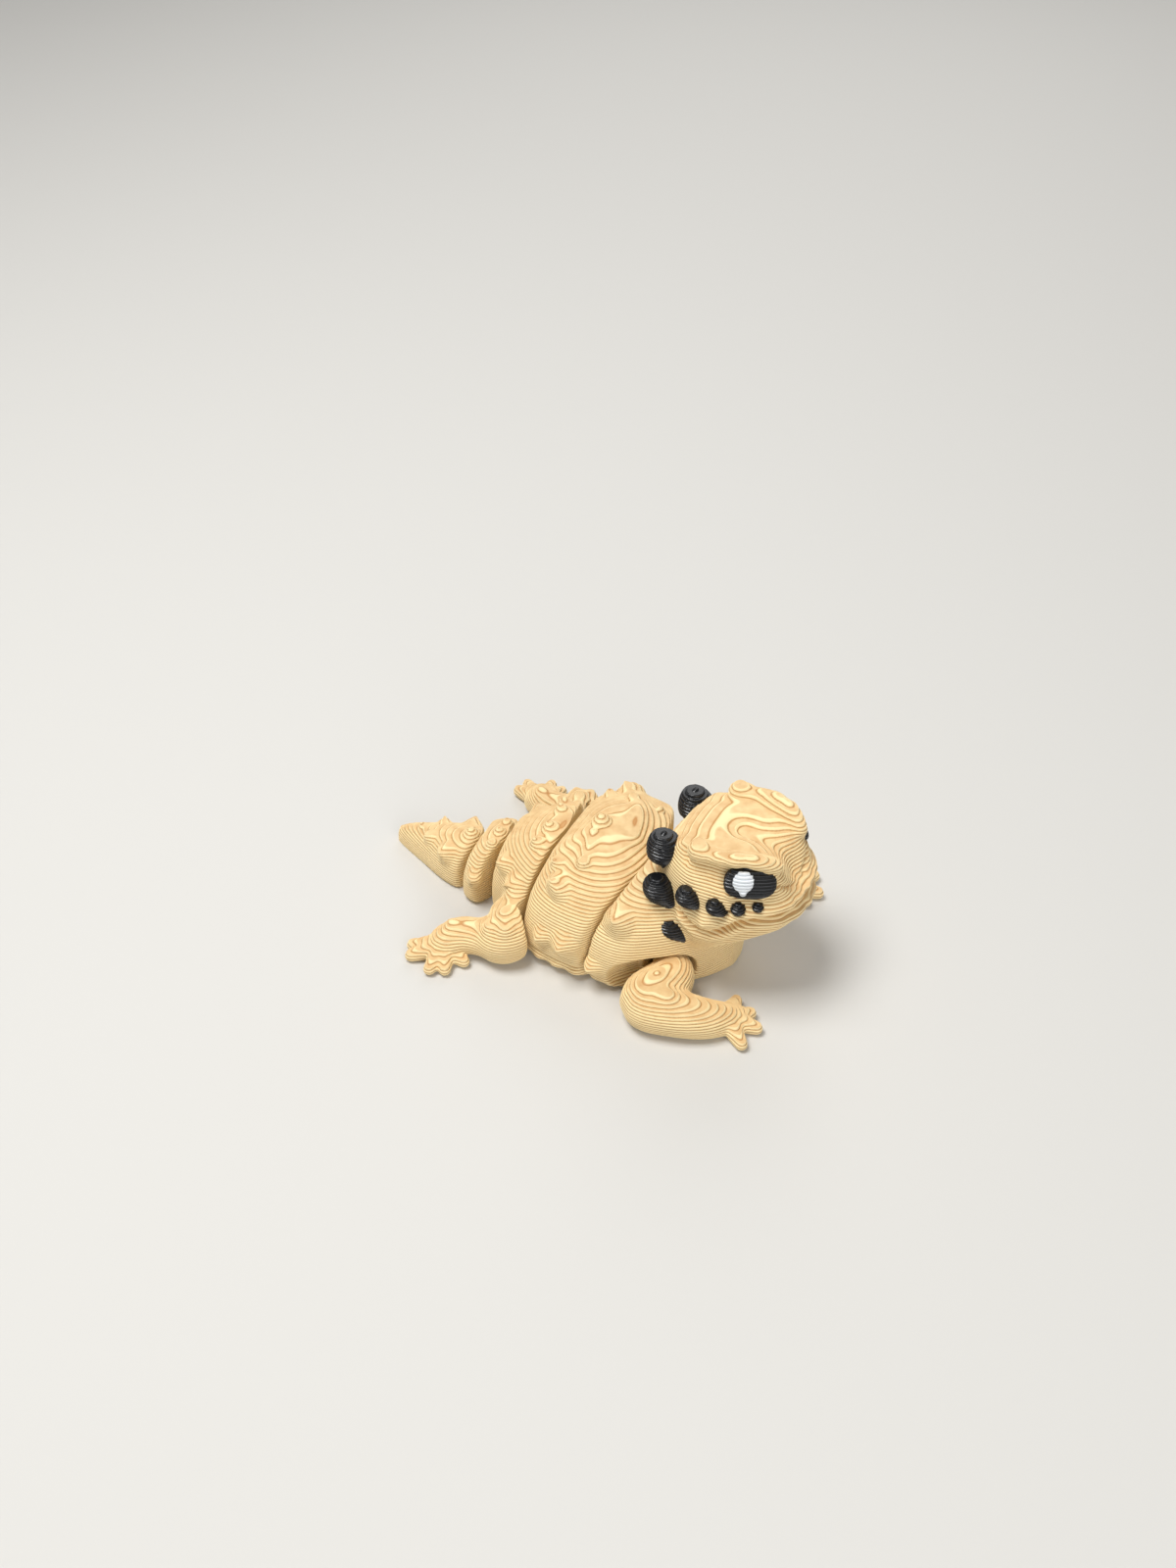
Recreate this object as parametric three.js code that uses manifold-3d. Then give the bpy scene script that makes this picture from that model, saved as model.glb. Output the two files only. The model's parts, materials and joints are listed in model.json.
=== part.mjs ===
// Printed toy horned lizard in five linked body pieces, with two swinging front legs.
// Millimetres, +Z up, +X towards the nose, +Y towards the toy's left. The floor is z = 0.

import * as THREE from "three";
import { mergeVertices } from "three/addons/utils/BufferGeometryUtils.js";
import Module from "manifold-3d";

const wasm = await Module();
wasm.setup();

// Colours of the two plastics and of the white glint
const TAN = { color: 0xe3bc86, roughness: 0.62, metalness: 0 };
const BLACK = { color: 0x1c1c1e, roughness: 0.45, metalness: 0 };
const WHITE = { color: 0xe4e8ea, roughness: 0.5, metalness: 0 };

// Fits
const PART_GAP = 0.3;
const HINGE_GAP = 0.35;
const RIGHT = -1;
const LEFT = 1;

// Places and headings of the five body pieces, in degrees about +Z, as the toy stands
const BOX_MIDDLE_X = -4.706;
const MID = { x: -2.3, y: -0.2, yaw: -7 };
const FRONT = { x: 0.9, y: -0.5, yaw: -7 };
const HIP = { x: -9.0, y: 0, yaw: -2 };
const DISC = { x: -14.6, y: 0, yaw: -3 };
const TAIL = { x: -17.0, y: 0.1, yaw: -12 };

// How far each link turns either way from the stance, in degrees
const TURN = {
  front: { min: -1, max: 9 },
  hip: { min: -9, max: 1 },
  disc: { min: -10, max: 10 },
  tail: { min: -10, max: 10 },
  rightLeg: { min: -20, max: 4 },
  leftLeg: { min: -24, max: 0 },
};
const TURN_STEP = 6;

// Body pieces: each station is its place along the piece, half width and top height
const SECTION_SIDES = 24;
const MID_STATIONS = [
  { x: -5.0, half: 8.6, top: 9.0 },
  { x: -3.8, half: 9.3, top: 10.1 },
  { x: -1.6, half: 9.8, top: 10.9 },
  { x: 1.0, half: 9.9, top: 11.0 },
  { x: 3.2, half: 9.7, top: 10.4 },
  { x: 5.0, half: 9.3, top: 9.5 },
];
const FRONT_STATIONS = [
  { x: -2.4, half: 9.2, top: 9.6 },
  { x: 0.0, half: 9.8, top: 10.6 },
  { x: 2.4, half: 9.6, top: 11.2 },
  { x: 4.8, half: 8.0, top: 11.4 },
  { x: 6.6, half: 6.4, top: 11.0 },
  { x: 8.2, half: 4.6, top: 10.2 },
  { x: 9.2, half: 2.9, top: 9.0 },
  { x: 10.0, half: 1.2, top: 7.2 },
];
const HIP_STATIONS = [
  { x: -4.4, half: 4.0, top: 6.6 },
  { x: -3.0, half: 5.0, top: 7.8 },
  { x: -1.0, half: 6.3, top: 8.9 },
  { x: 1.2, half: 7.4, top: 9.5 },
  { x: 3.2, half: 8.0, top: 9.5 },
  { x: 4.6, half: 8.2, top: 9.0 },
];
const DISC_STATIONS = [
  { x: -2.3, half: 3.2, top: 4.9 },
  { x: -1.2, half: 4.1, top: 5.8 },
  { x: 0.4, half: 4.5, top: 6.4 },
  { x: 2.0, half: 4.3, top: 6.2 },
  { x: 3.0, half: 3.8, top: 5.6 },
];
const TAIL_STATIONS = [
  { x: -9.3, half: 0.5, top: 1.5 },
  { x: -7.6, half: 1.1, top: 2.5 },
  { x: -5.0, half: 1.9, top: 3.5 },
  { x: -2.2, half: 2.8, top: 4.5 },
  { x: -0.2, half: 3.1, top: 5.0 },
  { x: 1.0, half: 2.9, top: 4.8 },
  { x: 2.0, half: 2.3, top: 4.2 },
];
const HEAD_STATIONS = [
  { x: 2.8, half: 3.2, low: 7.0, top: 12.8 },
  { x: 4.2, half: 4.6, low: 5.0, top: 15.2 },
  { x: 6.2, half: 5.8, low: 4.2, top: 16.1 },
  { x: 8.6, half: 6.1, low: 4.6, top: 16.5 },
  { x: 11.2, half: 5.6, low: 6.4, top: 16.5 },
  { x: 13.4, half: 4.5, low: 7.7, top: 15.8 },
  { x: 14.7, half: 3.5, low: 8.4, top: 14.1 },
  { x: 15.8, half: 1.7, low: 9.4, top: 11.4 },
];

// Sections: the widest level as a share of the height, and how square the four quarters are
const WIDEST_LEVEL = 0.3;
const UPPER_ROUNDNESS = 0.86;
const LOWER_ROUNDNESS = 0.55;
const HEAD_WIDEST_LEVEL = 0.45;
const HEAD_UPPER_ROUNDNESS = 0.56;
const HEAD_LOWER_ROUNDNESS = 0.5;
const SOLE_SINK = 0.5;

// Faces between body pieces: how far they bow forwards, as the radius of the bow, and their places
const FACE_BOW = { front: 17, hip: 34, disc: 14, tail: 8 };
const FACE_AT = { front: 4.3, hip: -4.2, disc: -3.7, tail: -1.1 };

// Blocks with a bowed face that cut the pieces apart, and a narrow one as wide as the middle piece's rear
const BLOCK = { height: 40, depth: 26, half: 13, steps: 8 };
const MID_REAR_HALF = 9.6;

// Hinge knobs: a double cone that stands in a like socket in the piece ahead
const KNOB = { waist: 1.6, end: 1.05, height: 5.0, ahead: 2.0, sides: 12 };
const SMALL_KNOB = { waist: 1.1, end: 0.75, height: 3.2, ahead: 1.4, sides: 10 };
const TAIL_KNOB = { waist: 0.85, end: 0.6, height: 2.6, ahead: 0.9, sides: 10 };
const NECK = { half: 0.75, low: 1.6, high: 3.6 };
const SMALL_NECK = { half: 0.55, low: 0.9, high: 2.3 };
const TAIL_NECK = { half: 0.4, low: 0.7, high: 1.9 };
const NECK_ROOT = 1.6;

// Front leg, drawn for the left side about its shoulder knob, toes forward
const SHOULDER = { x: 4.9, y: 4.9, rightYaw: 0, leftYaw: 20 };
const SHOULDER_KNOB = { waist: 1.35, end: 0.9, height: 4.0, sides: 10 };
const LEG_SIDES = 10;
const LIMB_END = { reach: 0.85, share: 0.5 };
// The upper arm is the first stations of the path, and its room in the body is wider by this
const ARM_STATIONS = 4;
const ARM_ROOM = 0.45;
const FRONT_LEG_PATH = [
  { x: 0.0, y: -0.2, z: 2.2, r: 1.4 },
  { x: 1.4, y: 1.9, z: 2.3, r: 2.1 },
  { x: 1.2, y: 3.8, z: 2.2, r: 2.4 },
  { x: 0.7, y: 5.7, z: 2.0, r: 2.5 },
  { x: 3.4, y: 5.5, z: 1.8, r: 2.15 },
  { x: 5.8, y: 4.6, z: 1.4, r: 1.85 },
  { x: 7.4, y: 3.4, z: 1.0, r: 1.5 },
];
const FRONT_TOES = [
  { angle: 39, length: 3.2 },
  { angle: -8, length: 3.0 },
  { angle: -46, length: 2.5 },
  { angle: -92, length: 2.6 },
];
const FRONT_PALM = { x: 7.6, y: 3.0, r: 2.0 };
const PALM_SQUASH = 0.62;
const PALM_BANDS = 6;
const TOE = { root: 0.8, tip: 0.34, rise: 0.6, sink: 0.4, sides: 8 };

// Rear leg, drawn for the left side in the hip piece's frame, toes outwards
const REAR_LEG_PATH = [
  { x: 0.6, y: 5.4, z: 3.4, r: 2.5 },
  { x: -0.6, y: 8.8, z: 2.3, r: 2.8 },
  { x: -2.6, y: 9.5, z: 1.8, r: 1.8 },
  { x: -4.4, y: 9.9, z: 1.7, r: 1.7 },
  { x: -5.6, y: 10.9, z: 1.1, r: 1.8 },
];
const REAR_PALM = { x: -5.8, y: 11.2, r: 2.4 };
const REAR_TOES = [
  { angle: 164, length: 3.2 },
  { angle: 140, length: 3.4 },
  { angle: 92, length: 3.1 },
  { angle: 63, length: 2.9 },
  { angle: 19, length: 2.7 },
];

// Black spikes of the left side, in the front piece's frame: root, lean and size
const SPIKES = {
  horn: { x: 4.0, y: 3.2, z: 12.65, pitch: 66, yaw: 175, length: 3.2, base: 1.0, widest: 1.65 },
  temple: { x: 4.6, y: 5.0, z: 10.3, pitch: 46, yaw: 145, length: 2.6, base: 1.2, widest: 1.35 },
  cheek_a: { x: 7.3, y: 5.75, z: 11.7, pitch: 40, yaw: 130, length: 1.6, base: 1.0, widest: 1.0 },
  cheek_b: { x: 9.8, y: 5.75, z: 11.7, pitch: 40, yaw: 120, length: 1.2, base: 0.8, widest: 0.78 },
  cheek_c: { x: 11.6, y: 5.3, z: 12.0, pitch: 40, yaw: 100, length: 0.8, base: 0.65, widest: 0.62 },
  cheek_d: { x: 13.1, y: 4.6, z: 12.3, pitch: 40, yaw: 80, length: 0.7, base: 0.52, widest: 0.5 },
  jaw: { x: 6.1, y: 5.4, z: 6.7, pitch: 35, yaw: 145, length: 2.2, base: 1.0, widest: 1.05 },
};
const SPIKE_SIDES = 9;
const SPIKE_ROOT = 0.9;
// How wide a spike is along its length, both as shares
const SPIKE_PROFILE = [
  { along: 0.3, wide: 1 },
  { along: 0.72, wide: 0.8 },
  { along: 1, wide: 0.34 },
];

// Brow ridge of the left side, over the eye, in the front piece's frame
const BROW_PATH = [
  { x: 7.0, y: 4.0, z: 16.0, r: 0.95 },
  { x: 8.8, y: 4.15, z: 15.9, r: 0.8 },
  { x: 10.6, y: 4.0, z: 16.2, r: 0.8 },
  { x: 12.3, y: 3.4, z: 16.2, r: 0.8 },
  { x: 13.4, y: 2.6, z: 15.7, r: 0.75 },
];

// Eyes and their glints, left side: turned and leaned to the head's flank, the glint as seen on the eye
const EYE = { x: 12.1, y: 4.5, z: 14.6, long: 2.15, tall: 1.5, deep: 0.9, yaw: 26, lean: 22 };
const GLINT = { along: -0.6, up: 0.2, out: 0.75, radius: 1.0, deep: 0.4 };
const EYE_MESH = { sides: 12, bands: 8 };
const GLINT_MESH = { sides: 8, bands: 6 };

// Cone bumps on the skin, by size; a row gives the place along a piece, a size, and places round
// the back as shares of the half turn from the left flank to the right one
const BUMP = { radius: 1.1, height: 0.5, root: 0.9, shoulder: 0.8, crown: 0.32, sides: 7 };

const MID_BUMPS = [
  { x: -1.3, size: 1.3, shares: [0.5] },
  { x: -0.4, size: 0.8, shares: [0.35, 0.65] },
  { x: -2.0, size: 1.0, shares: [0.25, 0.75] },
  { x: -0.4, size: 1.3, shares: [0.035, 0.965] },
];
const FRONT_BUMPS = [{ x: 1.75, size: 1.0, shares: [0.18, 0.82] }];
const HIP_BUMPS = [
  { x: 0.6, size: 0.6, shares: [0.42, 0.52] },
  { x: -0.1, size: 0.6, shares: [0.33, 0.61] },
  { x: -1.1, size: 0.9, shares: [0.14, 0.86] },
  { x: -2.6, size: 0.6, shares: [0.25, 0.75] },
];
const DISC_BUMPS = [{ x: 0.6, size: 0.5, shares: [0.4, 0.5, 0.6] }];
const TAIL_BUMPS = [
  { x: -0.1, size: 0.8, shares: [0.5] },
];

// Slanted cut between head and front piece: a point of it and its fall towards the nose
const PARTING = { x: 6.3, z: 8.8, slope: 49 };
const LARGE_BLOCK = 120;
const WELD = 1e-4;

function material(finish) {
  return new THREE.MeshStandardMaterial(finish);
}

// A closed three.js geometry as a solid that can be joined and cut.
function solid(geometry) {
  const plain = geometry.clone();
  plain.deleteAttribute("normal");
  plain.deleteAttribute("uv");
  const merged = mergeVertices(plain, WELD);
  return new wasm.Manifold(
    new wasm.Mesh({
      numProp: 3,
      vertProperties: new Float32Array(merged.attributes.position.array),
      triVerts: new Uint32Array(merged.index.array),
    }),
  );
}

// The largest closed surface of a solid, as geometry.
function geometryOf(body) {
  let largest = null;
  for (const piece of body.decompose()) {
    if (!largest || piece.volume() > largest.volume()) {
      largest = piece;
    }
  }
  const mesh = largest.getMesh();
  const points = new Float32Array(mesh.numVert * 3);
  for (let i = 0; i < mesh.numVert; i += 1) {
    const start = i * mesh.numProp;
    points.set(mesh.vertProperties.subarray(start, start + 3), i * 3);
  }
  const geometry = new THREE.BufferGeometry();
  geometry.setAttribute("position", new THREE.BufferAttribute(points, 3));
  geometry.setIndex(new THREE.BufferAttribute(new Uint32Array(mesh.triVerts), 1));
  geometry.computeVertexNormals();
  return geometry;
}

// A closed skin over rings of points, each ring with as many points, with a fan over both ends.
function skinOver(rings) {
  const count = rings[0].length;
  const points = [];
  for (const ring of rings) {
    for (const point of ring) {
      points.push(point.x, point.y, point.z);
    }
  }
  const faces = [];
  for (let r = 0; r + 1 < rings.length; r += 1) {
    for (let i = 0; i < count; i += 1) {
      const a = r * count + i;
      const b = r * count + ((i + 1) % count);
      faces.push(a, b, a + count, b, b + count, a + count);
    }
  }
  for (const last of [false, true]) {
    const ring = last ? rings[rings.length - 1] : rings[0];
    const first = last ? (rings.length - 1) * count : 0;
    const centre = new THREE.Vector3();
    for (const point of ring) {
      centre.addScaledVector(point, 1 / count);
    }
    const hub = points.length / 3;
    points.push(centre.x, centre.y, centre.z);
    for (let i = 0; i < count; i += 1) {
      const a = first + i;
      const b = first + ((i + 1) % count);
      if (last) {
        faces.push(hub, a, b);
      } else {
        faces.push(hub, b, a);
      }
    }
  }
  const geometry = new THREE.BufferGeometry();
  geometry.setAttribute("position", new THREE.Float32BufferAttribute(points, 3));
  geometry.setIndex(faces);
  return geometry;
}

// One ring across the body: wider than a circle below, rounder above.
function bodySection(station, widestLevel, upperRound, lowerRound) {
  const low = station.low ?? -SOLE_SINK;
  const level = low + (station.top - low) * widestLevel;
  const ring = [];
  for (let i = 0; i < SECTION_SIDES; i += 1) {
    const angle = (i / SECTION_SIDES) * 2 * Math.PI;
    const across = Math.cos(angle);
    const up = Math.sin(angle);
    const round = up >= 0 ? upperRound : lowerRound;
    const reach = up >= 0 ? station.top - level : level - low;
    ring.push(
      new THREE.Vector3(
        station.x,
        Math.sign(across) * station.half * Math.abs(across) ** round,
        level + Math.sign(up) * reach * Math.abs(up) ** round,
      ),
    );
  }
  return ring;
}

function bodyForm(stations) {
  return skinOver(
    stations.map((station) => bodySection(station, WIDEST_LEVEL, UPPER_ROUNDNESS, LOWER_ROUNDNESS)),
  );
}

function headForm() {
  return skinOver(
    HEAD_STATIONS.map((station) =>
      bodySection(station, HEAD_WIDEST_LEVEL, HEAD_UPPER_ROUNDNESS, HEAD_LOWER_ROUNDNESS),
    ),
  );
}

// A tube of changing radius through the stations of a limb, with rounded ends.
function limbForm(path, extra) {
  const centres = path.map((station) => new THREE.Vector3(station.x, station.y, station.z));
  const rings = [];
  const last = path.length - 1;
  const addRing = (centre, ahead, radius) => {
    const side = new THREE.Vector3().crossVectors(ahead, new THREE.Vector3(0, 0, 1)).normalize();
    const up = new THREE.Vector3().crossVectors(side, ahead).normalize();
    const ring = [];
    for (let i = 0; i < LEG_SIDES; i += 1) {
      const angle = (i / LEG_SIDES) * 2 * Math.PI;
      ring.push(
        centre
          .clone()
          .addScaledVector(side, -Math.cos(angle) * radius)
          .addScaledVector(up, Math.sin(angle) * radius),
      );
    }
    rings.push(ring);
  };
  path.forEach((station, i) => {
    const before = centres[Math.max(i - 1, 0)];
    const after = centres[Math.min(i + 1, last)];
    const ahead = after.clone().sub(before).normalize();
    const radius = station.r + extra;
    const endShift = ahead.clone().multiplyScalar(radius * LIMB_END.reach);
    if (i === 0) {
      addRing(centres[i].clone().sub(endShift), ahead, radius * LIMB_END.share);
    }
    addRing(centres[i], ahead, radius);
    if (i === last) {
      addRing(centres[i].clone().add(endShift), ahead, radius * LIMB_END.share);
    }
  });
  return skinOver(rings);
}

function floorBlock() {
  const block = new THREE.BoxGeometry(LARGE_BLOCK, LARGE_BLOCK, LARGE_BLOCK);
  block.translate(0, 0, -LARGE_BLOCK / 2);
  return solid(block);
}

// A vertical block with a bowed face at x = at: it fills what lies behind that face, or ahead of it.
function bowedBlock(at, radius, behind, half = BLOCK.half) {
  const outline = new THREE.Shape();
  const faceX = (y) => at - radius + Math.sqrt(Math.max(radius * radius - y * y, 0));
  const farX = behind ? at - BLOCK.depth : at + BLOCK.depth;
  outline.moveTo(farX, -half);
  for (let i = 0; i <= BLOCK.steps; i += 1) {
    const y = -half + (2 * half * i) / BLOCK.steps;
    outline.lineTo(faceX(y), y);
  }
  outline.lineTo(farX, half);
  outline.closePath();
  const block = new THREE.ExtrudeGeometry(outline, { depth: BLOCK.height, bevelEnabled: false });
  block.translate(0, 0, -BLOCK.height / 2);
  return block;
}

function knobForm(knob, extra) {
  const middle = knob.height / 2;
  const profile = [
    new THREE.Vector2(0, -extra),
    new THREE.Vector2(knob.end + extra, -extra),
    new THREE.Vector2(knob.waist + extra, middle),
    new THREE.Vector2(knob.end + extra, knob.height + extra),
    new THREE.Vector2(0, knob.height + extra),
  ];
  const form = new THREE.LatheGeometry(profile, knob.sides);
  form.rotateX(Math.PI / 2);
  return form;
}

function boxBetween(low, high) {
  const box = new THREE.BoxGeometry(high.x - low.x, high.y - low.y, high.z - low.z);
  box.translate((low.x + high.x) / 2, (low.y + high.y) / 2, (low.z + high.z) / 2);
  return box;
}

function turned(geometry, pivot, degrees) {
  const copy = geometry.clone();
  copy.translate(-pivot.x, -pivot.y, 0);
  copy.rotateZ(THREE.MathUtils.degToRad(degrees));
  copy.translate(pivot.x, pivot.y, 0);
  return copy;
}

function anglesOf(range) {
  const angles = [];
  const count = Math.ceil((range.max - range.min) / TURN_STEP);
  for (let i = 0; i <= count; i += 1) {
    angles.push(range.min + ((range.max - range.min) * i) / count);
  }
  return angles;
}

// Takes the room that a form sweeps, turning about a pivot, out of a body.
function clearSweep(body, form, pivot, range) {
  let left = body;
  for (const angle of anglesOf(range)) {
    left = left.subtract(solid(turned(form, pivot, angle)));
  }
  return left;
}

// A geometry from one piece's frame in the toy's frame, and the other way round.
function placed(geometry, place) {
  const copy = geometry.clone();
  copy.rotateZ(THREE.MathUtils.degToRad(place.yaw));
  copy.translate(place.x, place.y, 0);
  return copy;
}

function pointIn(place, x, y) {
  const angle = THREE.MathUtils.degToRad(place.yaw);
  return {
    x: place.x + x * Math.cos(angle) - y * Math.sin(angle),
    y: place.y + x * Math.sin(angle) + y * Math.cos(angle),
  };
}

// A blunt cone bump that stands square on the skin at a given lean from straight up.
function bumpForm(size) {
  const radius = BUMP.radius * size;
  const profile = [
    new THREE.Vector2(0, -BUMP.root),
    new THREE.Vector2(radius, -BUMP.root),
    new THREE.Vector2(radius * BUMP.shoulder, 0),
    new THREE.Vector2(radius * BUMP.crown, BUMP.height * size),
    new THREE.Vector2(0, BUMP.height * size),
  ];
  const form = new THREE.LatheGeometry(profile, BUMP.sides);
  form.rotateX(Math.PI / 2);
  return form;
}

const floor = floorBlock();
const toy = new THREE.Group();
const stance = new THREE.Group();
stance.position.x = -BOX_MIDDLE_X;
toy.add(stance);

function addNode(name, body, finish) {
  const mesh = new THREE.Mesh(geometryOf(body.subtract(floor)), material(finish));
  mesh.name = name;
  stance.add(mesh);
}

// Hinge places: the knob of the piece behind stands ahead of the face it shares.
const frontHinge = pointIn(MID, FACE_AT.front + KNOB.ahead, 0);
const hipHinge = pointIn(MID, FACE_AT.hip + KNOB.ahead, 0);
const discHinge = pointIn(HIP, FACE_AT.disc + SMALL_KNOB.ahead, 0);
const tailHinge = pointIn(DISC, FACE_AT.tail + TAIL_KNOB.ahead, 0);

// The knob and neck that a piece behind reaches ahead with, in the frame of the shared face.
function link(hinge, knob, neck, place, extra) {
  const stand = placed(knobForm(knob, extra), { ...hinge, yaw: place.yaw });
  const reach = boxBetween(
    { x: -knob.ahead - NECK_ROOT, y: -neck.half - extra, z: neck.low - extra },
    { x: 0, y: neck.half + extra, z: neck.high + extra },
  );
  const bar = placed(reach, { ...hinge, yaw: place.yaw });
  return { stand, bar };
}

function addLink(body, hinge, knob, neck, place) {
  const { stand, bar } = link(hinge, knob, neck, place, 0);
  return body.add(solid(stand)).add(solid(bar));
}

function clearLink(body, hinge, knob, neck, place, range) {
  const { stand, bar } = link(hinge, knob, neck, place, HINGE_GAP);
  return clearSweep(body.subtract(solid(stand)), bar, hinge, range);
}

// Middle piece
let mid = solid(placed(bodyForm(MID_STATIONS), MID));
mid = mid.subtract(solid(placed(bowedBlock(FACE_AT.front, FACE_BOW.front, false), MID)));
mid = mid.subtract(solid(placed(bowedBlock(FACE_AT.hip, FACE_BOW.hip, true), MID)));
mid = addLink(mid, frontHinge, KNOB, NECK, MID);
mid = clearLink(mid, hipHinge, KNOB, NECK, HIP, TURN.hip);

// Front piece, whose rear face leaves the middle piece room to turn
let front = solid(placed(bodyForm(FRONT_STATIONS), FRONT));
front = clearSweep(
  front,
  placed(bowedBlock(FACE_AT.front + HINGE_GAP, FACE_BOW.front, true), MID),
  frontHinge,
  { min: -TURN.front.max, max: -TURN.front.min },
);
front = clearLink(front, frontHinge, KNOB, NECK, MID, { min: -TURN.front.max, max: -TURN.front.min });

// Hip piece
let hip = solid(placed(bodyForm(HIP_STATIONS), HIP));
hip = clearSweep(
  hip,
  placed(bowedBlock(FACE_AT.hip - HINGE_GAP, FACE_BOW.hip, false), MID),
  hipHinge,
  { min: -TURN.hip.max, max: -TURN.hip.min },
);
hip = hip.subtract(solid(placed(bowedBlock(FACE_AT.disc, FACE_BOW.disc, true), HIP)));
hip = addLink(hip, hipHinge, KNOB, NECK, HIP);
hip = clearLink(hip, discHinge, SMALL_KNOB, SMALL_NECK, DISC, TURN.disc);

// Tail disc
let disc = solid(placed(bodyForm(DISC_STATIONS), DISC));
disc = clearSweep(
  disc,
  placed(bowedBlock(FACE_AT.disc - HINGE_GAP, FACE_BOW.disc, false), HIP),
  discHinge,
  { min: -TURN.disc.max, max: -TURN.disc.min },
);
disc = disc.subtract(solid(placed(bowedBlock(FACE_AT.tail, FACE_BOW.tail, true), DISC)));
disc = addLink(disc, discHinge, SMALL_KNOB, SMALL_NECK, DISC);
disc = clearLink(disc, tailHinge, TAIL_KNOB, TAIL_NECK, TAIL, TURN.tail);

// Tail cone
let tail = solid(placed(bodyForm(TAIL_STATIONS), TAIL));
tail = clearSweep(
  tail,
  placed(bowedBlock(FACE_AT.tail - HINGE_GAP, FACE_BOW.tail, false), DISC),
  tailHinge,
  { min: -TURN.tail.max, max: -TURN.tail.min },
);
tail = addLink(tail, tailHinge, TAIL_KNOB, TAIL_NECK, TAIL);

// Rows of bumps: each is a place on a piece, where the form's top surface carries it
function skinPoint(stations, x, share) {
  let i = 0;
  while (i + 2 < stations.length && stations[i + 1].x < x) {
    i += 1;
  }
  const a = stations[i];
  const b = stations[i + 1];
  const along = (x - a.x) / (b.x - a.x);
  const half = a.half + (b.half - a.half) * along;
  const top = a.top + (b.top - a.top) * along;
  const level = -SOLE_SINK + (top + SOLE_SINK) * WIDEST_LEVEL;
  const angle = share * Math.PI;
  const across = Math.cos(angle);
  const up = Math.sin(angle);
  const point = new THREE.Vector3(
    x,
    Math.sign(across) * half * Math.abs(across) ** UPPER_ROUNDNESS,
    level + (top - level) * up ** UPPER_ROUNDNESS,
  );
  return { point, out: new THREE.Vector3(0, across / half, up / (top - level)).normalize() };
}

function addBumps(body, stations, place, rows) {
  let joined = body;
  for (const row of rows) {
    for (const share of row.shares) {
      const { point, out } = skinPoint(stations, row.x, share);
      const lean = new THREE.Quaternion().setFromUnitVectors(new THREE.Vector3(0, 0, 1), out);
      const form = bumpForm(row.size);
      form.applyQuaternion(lean);
      form.translate(point.x, point.y, point.z);
      joined = joined.add(solid(placed(form, place)));
    }
  }
  return joined;
}

mid = addBumps(mid, MID_STATIONS, MID, MID_BUMPS);
front = addBumps(front, FRONT_STATIONS, FRONT, FRONT_BUMPS);
hip = addBumps(hip, HIP_STATIONS, HIP, HIP_BUMPS);
disc = addBumps(disc, DISC_STATIONS, DISC, DISC_BUMPS);
tail = addBumps(tail, TAIL_STATIONS, TAIL, TAIL_BUMPS);

// A toe: a short cone that lies on the floor and points away from the palm.
function toeForm(palm, toe) {
  const form = new THREE.CylinderGeometry(TOE.tip, TOE.root, toe.length, TOE.sides);
  form.translate(0, toe.length / 2 - TOE.sink, 0);
  form.rotateZ(-Math.PI / 2 + THREE.MathUtils.degToRad(toe.angle));
  form.translate(palm.x, palm.y, TOE.rise);
  return form;
}

function mirrored(geometry, side) {
  const copy = geometry.clone();
  if (side === LEFT) {
    return copy;
  }
  copy.scale(1, -1, 1);
  const index = copy.index.array;
  for (let i = 0; i < index.length; i += 3) {
    const keep = index[i + 1];
    index[i + 1] = index[i + 2];
    index[i + 2] = keep;
  }
  return copy;
}

function palmForm(palm) {
  const form = new THREE.SphereGeometry(palm.r, LEG_SIDES, PALM_BANDS);
  form.scale(1, 1, PALM_SQUASH);
  form.translate(palm.x, palm.y, TOE.rise);
  return form;
}

function legForms(path, palm, toes) {
  return [limbForm(path, 0), palmForm(palm), ...toes.map((toe) => toeForm(palm, toe))];
}

// Front legs: a knob in the shoulder socket, an upper arm under the arch, a forearm and a hand
function addFrontLeg(side, name, yaw, range) {
  const pivot = pointIn(FRONT, SHOULDER.x, SHOULDER.y * side);
  const place = { ...pivot, yaw: FRONT.yaw + yaw * side };
  let leg = solid(placed(knobForm(SHOULDER_KNOB, 0), place));
  for (const form of legForms(FRONT_LEG_PATH, FRONT_PALM, FRONT_TOES)) {
    leg = leg.add(solid(placed(mirrored(form, side), place)));
  }
  const arm = placed(mirrored(limbForm(FRONT_LEG_PATH.slice(0, ARM_STATIONS), ARM_ROOM), side), place);
  front = front.subtract(solid(placed(knobForm(SHOULDER_KNOB, HINGE_GAP), place)));
  front = clearSweep(front, arm, pivot, range);
  addNode(name, leg, TAN);
}

addFrontLeg(LEFT, "leg_front_left", SHOULDER.leftYaw, TURN.leftLeg);
addFrontLeg(RIGHT, "leg_front_right", SHOULDER.rightYaw, TURN.rightLeg);

// Rear legs, each in a seat of the hip piece, clear of the middle piece at every turn
const midRear = placed(bowedBlock(FACE_AT.hip - HINGE_GAP, FACE_BOW.hip, false, MID_REAR_HALF), MID);
const midRearRange = { min: -TURN.hip.max, max: -TURN.hip.min };
for (const [name, side] of [["left", LEFT], ["right", RIGHT]]) {
  let leg = null;
  for (const form of legForms(REAR_LEG_PATH, REAR_PALM, REAR_TOES)) {
    const piece = solid(placed(mirrored(form, side), HIP));
    leg = leg ? leg.add(piece) : piece;
  }
  hip = hip.subtract(solid(placed(mirrored(limbForm(REAR_LEG_PATH, PART_GAP), side), HIP)));
  addNode(`leg_rear_${name}`, clearSweep(leg, midRear, hipHinge, midRearRange), TAN);
}

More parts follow.
